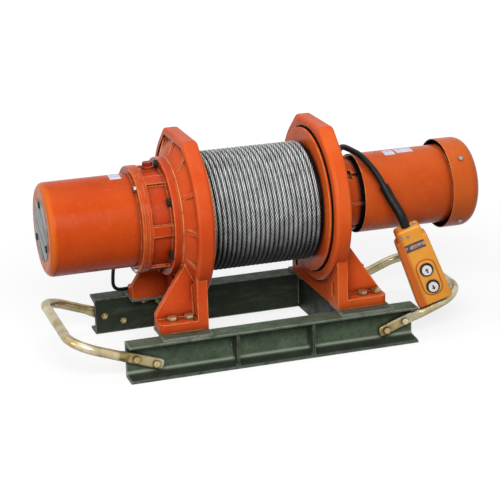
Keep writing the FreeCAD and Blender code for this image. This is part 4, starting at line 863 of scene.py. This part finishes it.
def make_neck_screws():
    points = []
    faces = []
    for across, height in NECK_SCREWS:
        for way in (-1, 1):
            faces += tube_faces(len(SCREW_PROFILE), SCREW_ARC_STEPS + 1, len(points))
            for inset, depth in SCREW_PROFILE:
                for k in range(SCREW_ARC_STEPS + 1):
                    turn = math.pi * (k / SCREW_ARC_STEPS - 0.5)
                    arc = (SCREW_R - SLOT_HALF - inset) * math.cos(turn)
                    u = way * (SLOT_HALF + inset * SLOT_FLARE + arc)
                    v = (SCREW_R - inset) * math.sin(turn)
                    points.append(on_pendant(across + u, height + v, NECK_FACE + depth))
    new_piece("neck_screws", points, faces, STEEL, "frame")


def make_neck_studs():
    points = []
    faces = []
    for across, depth in STUDS:
        faces += tube_faces(len(STUD_PROFILE), STUD_SIDES, len(points))
        points += [on_pendant(across + u, STUD_FOOT + height, depth + v)
                   for u, v, height in turned(STUD_PROFILE, STUD_SIDES)]
    new_piece("neck_studs", points, faces, STEEL, "frame")


def make_arrows():
    for name, (height, way) in BUTTON_HEIGHTS.items():
        points = [on_pendant(BUTTON_ACROSS + u, height + way * v, CAP_FACE + depth)
                  for depth in (MARK_IN, -MARK_OUT) for u, v in ARROW]
        new_piece(name + "_arrow", points, tube_faces(2, len(ARROW)), MARK, name)


# Cables
CABLE_D = 13.0
LEAD_D = 8.0
CORD_ORDER = 3
CORD_STEPS = 8          # sections between two control points
CORD_ROUND = 5          # fineness of a section's circle
COIL_CENTRE = (256.0, 272.0)
COIL_OUT = 78.0
COIL_IN = 64.4
COIL_LOW = 6.6
COIL_HIGH = 20.2
COIL_STEP = 24.0
COIL_START = 180        # degrees of the coil's left side, where it starts to run clockwise
# Turned angle, radius and height where the winding changes
COIL_STAGES = [
    (0, COIL_OUT, COIL_LOW), (300, COIL_OUT, COIL_LOW),
    (360, COIL_IN, COIL_LOW), (600, COIL_IN, COIL_LOW),
    (660, COIL_IN, COIL_HIGH), (780, COIL_IN, COIL_HIGH),
    (840, COIL_OUT, COIL_HIGH), (912, COIL_OUT, COIL_HIGH),
]
SLEEVE_TOP = (270.0, -97.0, 334.0)
SLEEVE_ENTRY = (260.1, -80.5, 360.4)
CABLE_DOWN = [
    (213, 118, 236), (213, 118, 196), (210, 132, 158), (202, 160, 126), (193, 190, 98), (185, 214, 62),
    (179, 238, 27),
]
CABLE_UP = [
    (312, 219, 31), (298, 201, 54), (281, 188.5, 98), (262, 171, 152), (249, 148, 205),
    (241, 128, 255), around(238, 6, 112), around(236, 33, 107), around(227, 58, 104), around(222, 80, 104),
    around(226, 99, 104), around(241, 115, 104), SLEEVE_ENTRY, SLEEVE_TOP,
]
BRAKE_LEAD = [
    (-275, 88.39, 208.21), (-275, 123.74, 172.86), (-275, 153, 130), (-275, 156, 90.5), (-234, 158, 90),
    (-206, 176, 93), (-188, 195, 84), (-174, 197, 56), (-150, 183, 25), (-112, 151, 16.5), (-2, 155, 17.5),
    (98, 151, 16.5), (134, 178, 24), (156, 196, 52), (170, 195, 92), (180, 168, 128), (187, 134, 158),
    (188, 118, 198), (188, 118, 236),
]
# Strap round the coil: where it sits, and the cables it bends round with the angles of each bend
TIE_ANGLE = 60.0
TIE_WIDTH = 5.0
TIE_THICK = 0.9
TIE_FLOOR = 0.05
TIE_BEND_STEPS = 8
TIE_BENDS = (
    ((COIL_OUT, COIL_LOW), (-90, 45)),
    ((COIL_IN, COIL_HIGH), (45, 180)),
    ((COIL_IN, COIL_LOW), (180, 270)),
)


def coil_points():
    """Turns of the put-away length, worked out stage by stage."""
    points = []
    angle = 0.0
    while angle <= COIL_STAGES[-1][0]:
        stage = max(k for k in range(len(COIL_STAGES) - 1) if COIL_STAGES[k][0] <= angle)
        before, after = COIL_STAGES[stage], COIL_STAGES[stage + 1]
        share = (angle - before[0]) / (after[0] - before[0])
        radius = before[1] + share * (after[1] - before[1])
        height = before[2] + share * (after[2] - before[2])
        turn = math.radians(COIL_START - angle)
        x, y = COIL_CENTRE
        points.append((x + radius * math.cos(turn), y + radius * math.sin(turn), height))
        angle += COIL_STEP
    return points


def make_tie():
    """Strap drawn tight round the three lengths that lie together in the coil."""
    turn = math.radians(COIL_START - TIE_ANGLE)
    outward = Vector((math.cos(turn), math.sin(turn), 0.0))
    sideways = Vector((-math.sin(turn), math.cos(turn), 0.0))
    centre = Vector((*COIL_CENTRE, 0.0))
    loop = []
    for (radius, height), (first, last) in TIE_BENDS:
        for k in range(TIE_BEND_STEPS + 1):
            loop.append((radius, height, math.radians(first + (last - first) * k / TIE_BEND_STEPS)))
    corners = ((-0.5, 0.0), (0.5, 0.0), (0.5, TIE_THICK), (-0.5, TIE_THICK))
    points = []
    for share, out in corners:
        for radius, height, bend in loop:
            reach = CABLE_D / 2 + out
            level = max(TIE_FLOOR, height + reach * math.sin(bend))
            place = centre + outward * (radius + reach * math.cos(bend)) + sideways * TIE_WIDTH * share
            points.append(at(place.x, place.y, level))
    count = len(loop)
    faces = []
    for row in range(len(corners)):
        under, over = row * count, (row + 1) % len(corners) * count
        for k in range(count):
            ahead = (k + 1) % count
            faces.append((under + k, under + ahead, over + ahead, over + k))
    return new_piece("coil_tie", points, faces, BLACK, "frame")


def new_cord(name, route, diameter, nodes):
    """Round cord on one smooth spline with the route's points as its control points."""
    curve = bpy.data.curves.new(name, "CURVE")
    curve.dimensions = "3D"
    spline = curve.splines.new("NURBS")
    spline.points.add(len(route) - 1)
    for point, place in zip(spline.points, route):
        point.co = (*at(*place), 1.0)
    spline.order_u = CORD_ORDER
    spline.use_endpoint_u = True
    spline.resolution_u = CORD_STEPS
    curve.bevel_depth = diameter / 2 * MM
    curve.bevel_resolution = CORD_ROUND
    curve.use_fill_caps = True
    curve.materials.append(RUBBER)
    piece = bpy.data.objects.new(name, curve)
    bpy.context.scene.collection.objects.link(piece)
    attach(piece, "frame")
    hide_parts(*nodes)
    return piece


def make_cords():
    cable = new_cord("pendant_cable", CABLE_DOWN + coil_points() + CABLE_UP, CABLE_D,
                     ["pendant_cable_lower", "pendant_cable_coil", "pendant_cable_upper"])
    make_tie()
    lead = new_cord("brake_cable", BRAKE_LEAD, LEAD_D, ["brake_lead"])


# Studio

CAMERA_DISTANCE = 3712.62
CAMERA_AZIMUTH = math.radians(-17.569)
CAMERA_ELEVATION = math.radians(17.787)
CAMERA_ROLL = math.radians(-1.752)
CAMERA_AIM = (-3.05, 0.0, 196.07)
CAMERA_LENS = 123.424
CAMERA_SENSOR = 36.0
CAMERA_CLIP = 60.0      # metres


def make_camera():
    az, el, roll = CAMERA_AZIMUTH, CAMERA_ELEVATION, CAMERA_ROLL
    right = Vector((math.cos(az), math.sin(az), 0))
    back = Vector((math.sin(az) * math.cos(el), -math.cos(az) * math.cos(el), math.sin(el)))
    up = back.cross(right)
    rolled_right = right * math.cos(roll) + up * math.sin(roll)
    rolled_up = up * math.cos(roll) - right * math.sin(roll)
    data = bpy.data.cameras.new("photo_camera")
    data.lens = CAMERA_LENS
    data.sensor_width = CAMERA_SENSOR
    data.sensor_fit = "HORIZONTAL"
    data.clip_end = CAMERA_CLIP
    camera = bpy.data.objects.new("photo_camera", data)
    turn = Matrix((rolled_right, rolled_up, back)).transposed().to_4x4()
    camera.matrix_world = Matrix.Translation(at(*CAMERA_AIM) + back * CAMERA_DISTANCE * MM) @ turn
    bpy.context.scene.collection.objects.link(camera)
    bpy.context.scene.camera = camera


# Floor: half its side and its height, in metres
FLOOR_HALF = 14.0
FLOOR_Z = -0.0005
# Lamps: place and target in metres, sides in metres, power in watts
LAMPS = {
    "overhead_softbox": ((0.0, 0.1, 2.5), (0.0, 0.0, 0.3), (2.2, 1.8), 15.0),
    "front_softbox": ((-0.7, -2.3, 1.75), (0.0, 0.0, 0.25), (1.6, 1.2), 68.0),
    "left_strip": ((-2.2, -0.55, 0.75), (-0.4, 0.0, 0.3), (0.15, 1.2), 11.0),
}
WORLD_AMBIENT = 0.24


def make_floor():
    mesh = bpy.data.meshes.new("studio_floor")
    corners = ((-1, -1), (1, -1), (1, 1), (-1, 1))
    mesh.from_pydata([(x * FLOOR_HALF, y * FLOOR_HALF, FLOOR_Z) for x, y in corners], [], [(0, 1, 2, 3)])
    mesh.materials.append(floor_paint())
    floor = bpy.data.objects.new("studio_floor", mesh)
    bpy.context.scene.collection.objects.link(floor)


def make_lamps():
    for name, (place, target, (width, height), power) in LAMPS.items():
        data = bpy.data.lights.new(name, "AREA")
        data.shape = "RECTANGLE"
        data.size = width
        data.size_y = height
        data.energy = power
        lamp = bpy.data.objects.new(name, data)
        lamp.location = place
        aim = Vector(target) - Vector(place)
        lamp.rotation_euler = aim.to_track_quat("-Z", "Y").to_euler()
        bpy.context.scene.collection.objects.link(lamp)


def make_world():
    """White to the eye and in reflections, dim as a light."""
    world = bpy.data.worlds.new("studio")
    world.use_nodes = True
    tree = world.node_tree
    background = tree.nodes["Background"]
    background.inputs["Color"].default_value = (1, 1, 1, 1)
    seen = tree.nodes.new("ShaderNodeLightPath").outputs
    level = seen["Is Camera Ray"]
    for ray in ("Is Glossy Ray", "Is Transmission Ray"):
        either = tree.nodes.new("ShaderNodeMath")
        either.operation = "MAXIMUM"
        tree.links.new(level, either.inputs[0])
        tree.links.new(seen[ray], either.inputs[1])
        level = either.outputs[0]
    strength = tree.nodes.new("ShaderNodeMapRange")
    strength.inputs["To Min"].default_value = WORLD_AMBIENT
    strength.inputs["To Max"].default_value = 1.0
    tree.links.new(level, strength.inputs["Value"])
    tree.links.new(strength.outputs["Result"], background.inputs["Strength"])
    bpy.context.scene.world = world
    bpy.context.scene.view_settings.view_transform = "Standard"


make_camera()
make_cords()
dress_nodes()
make_rope()
make_rope_core()
make_stickers()
make_plate_screws()
make_welds()
make_neck_screws()
make_neck_studs()
make_arrows()
make_floor()
make_lamps()
make_world()
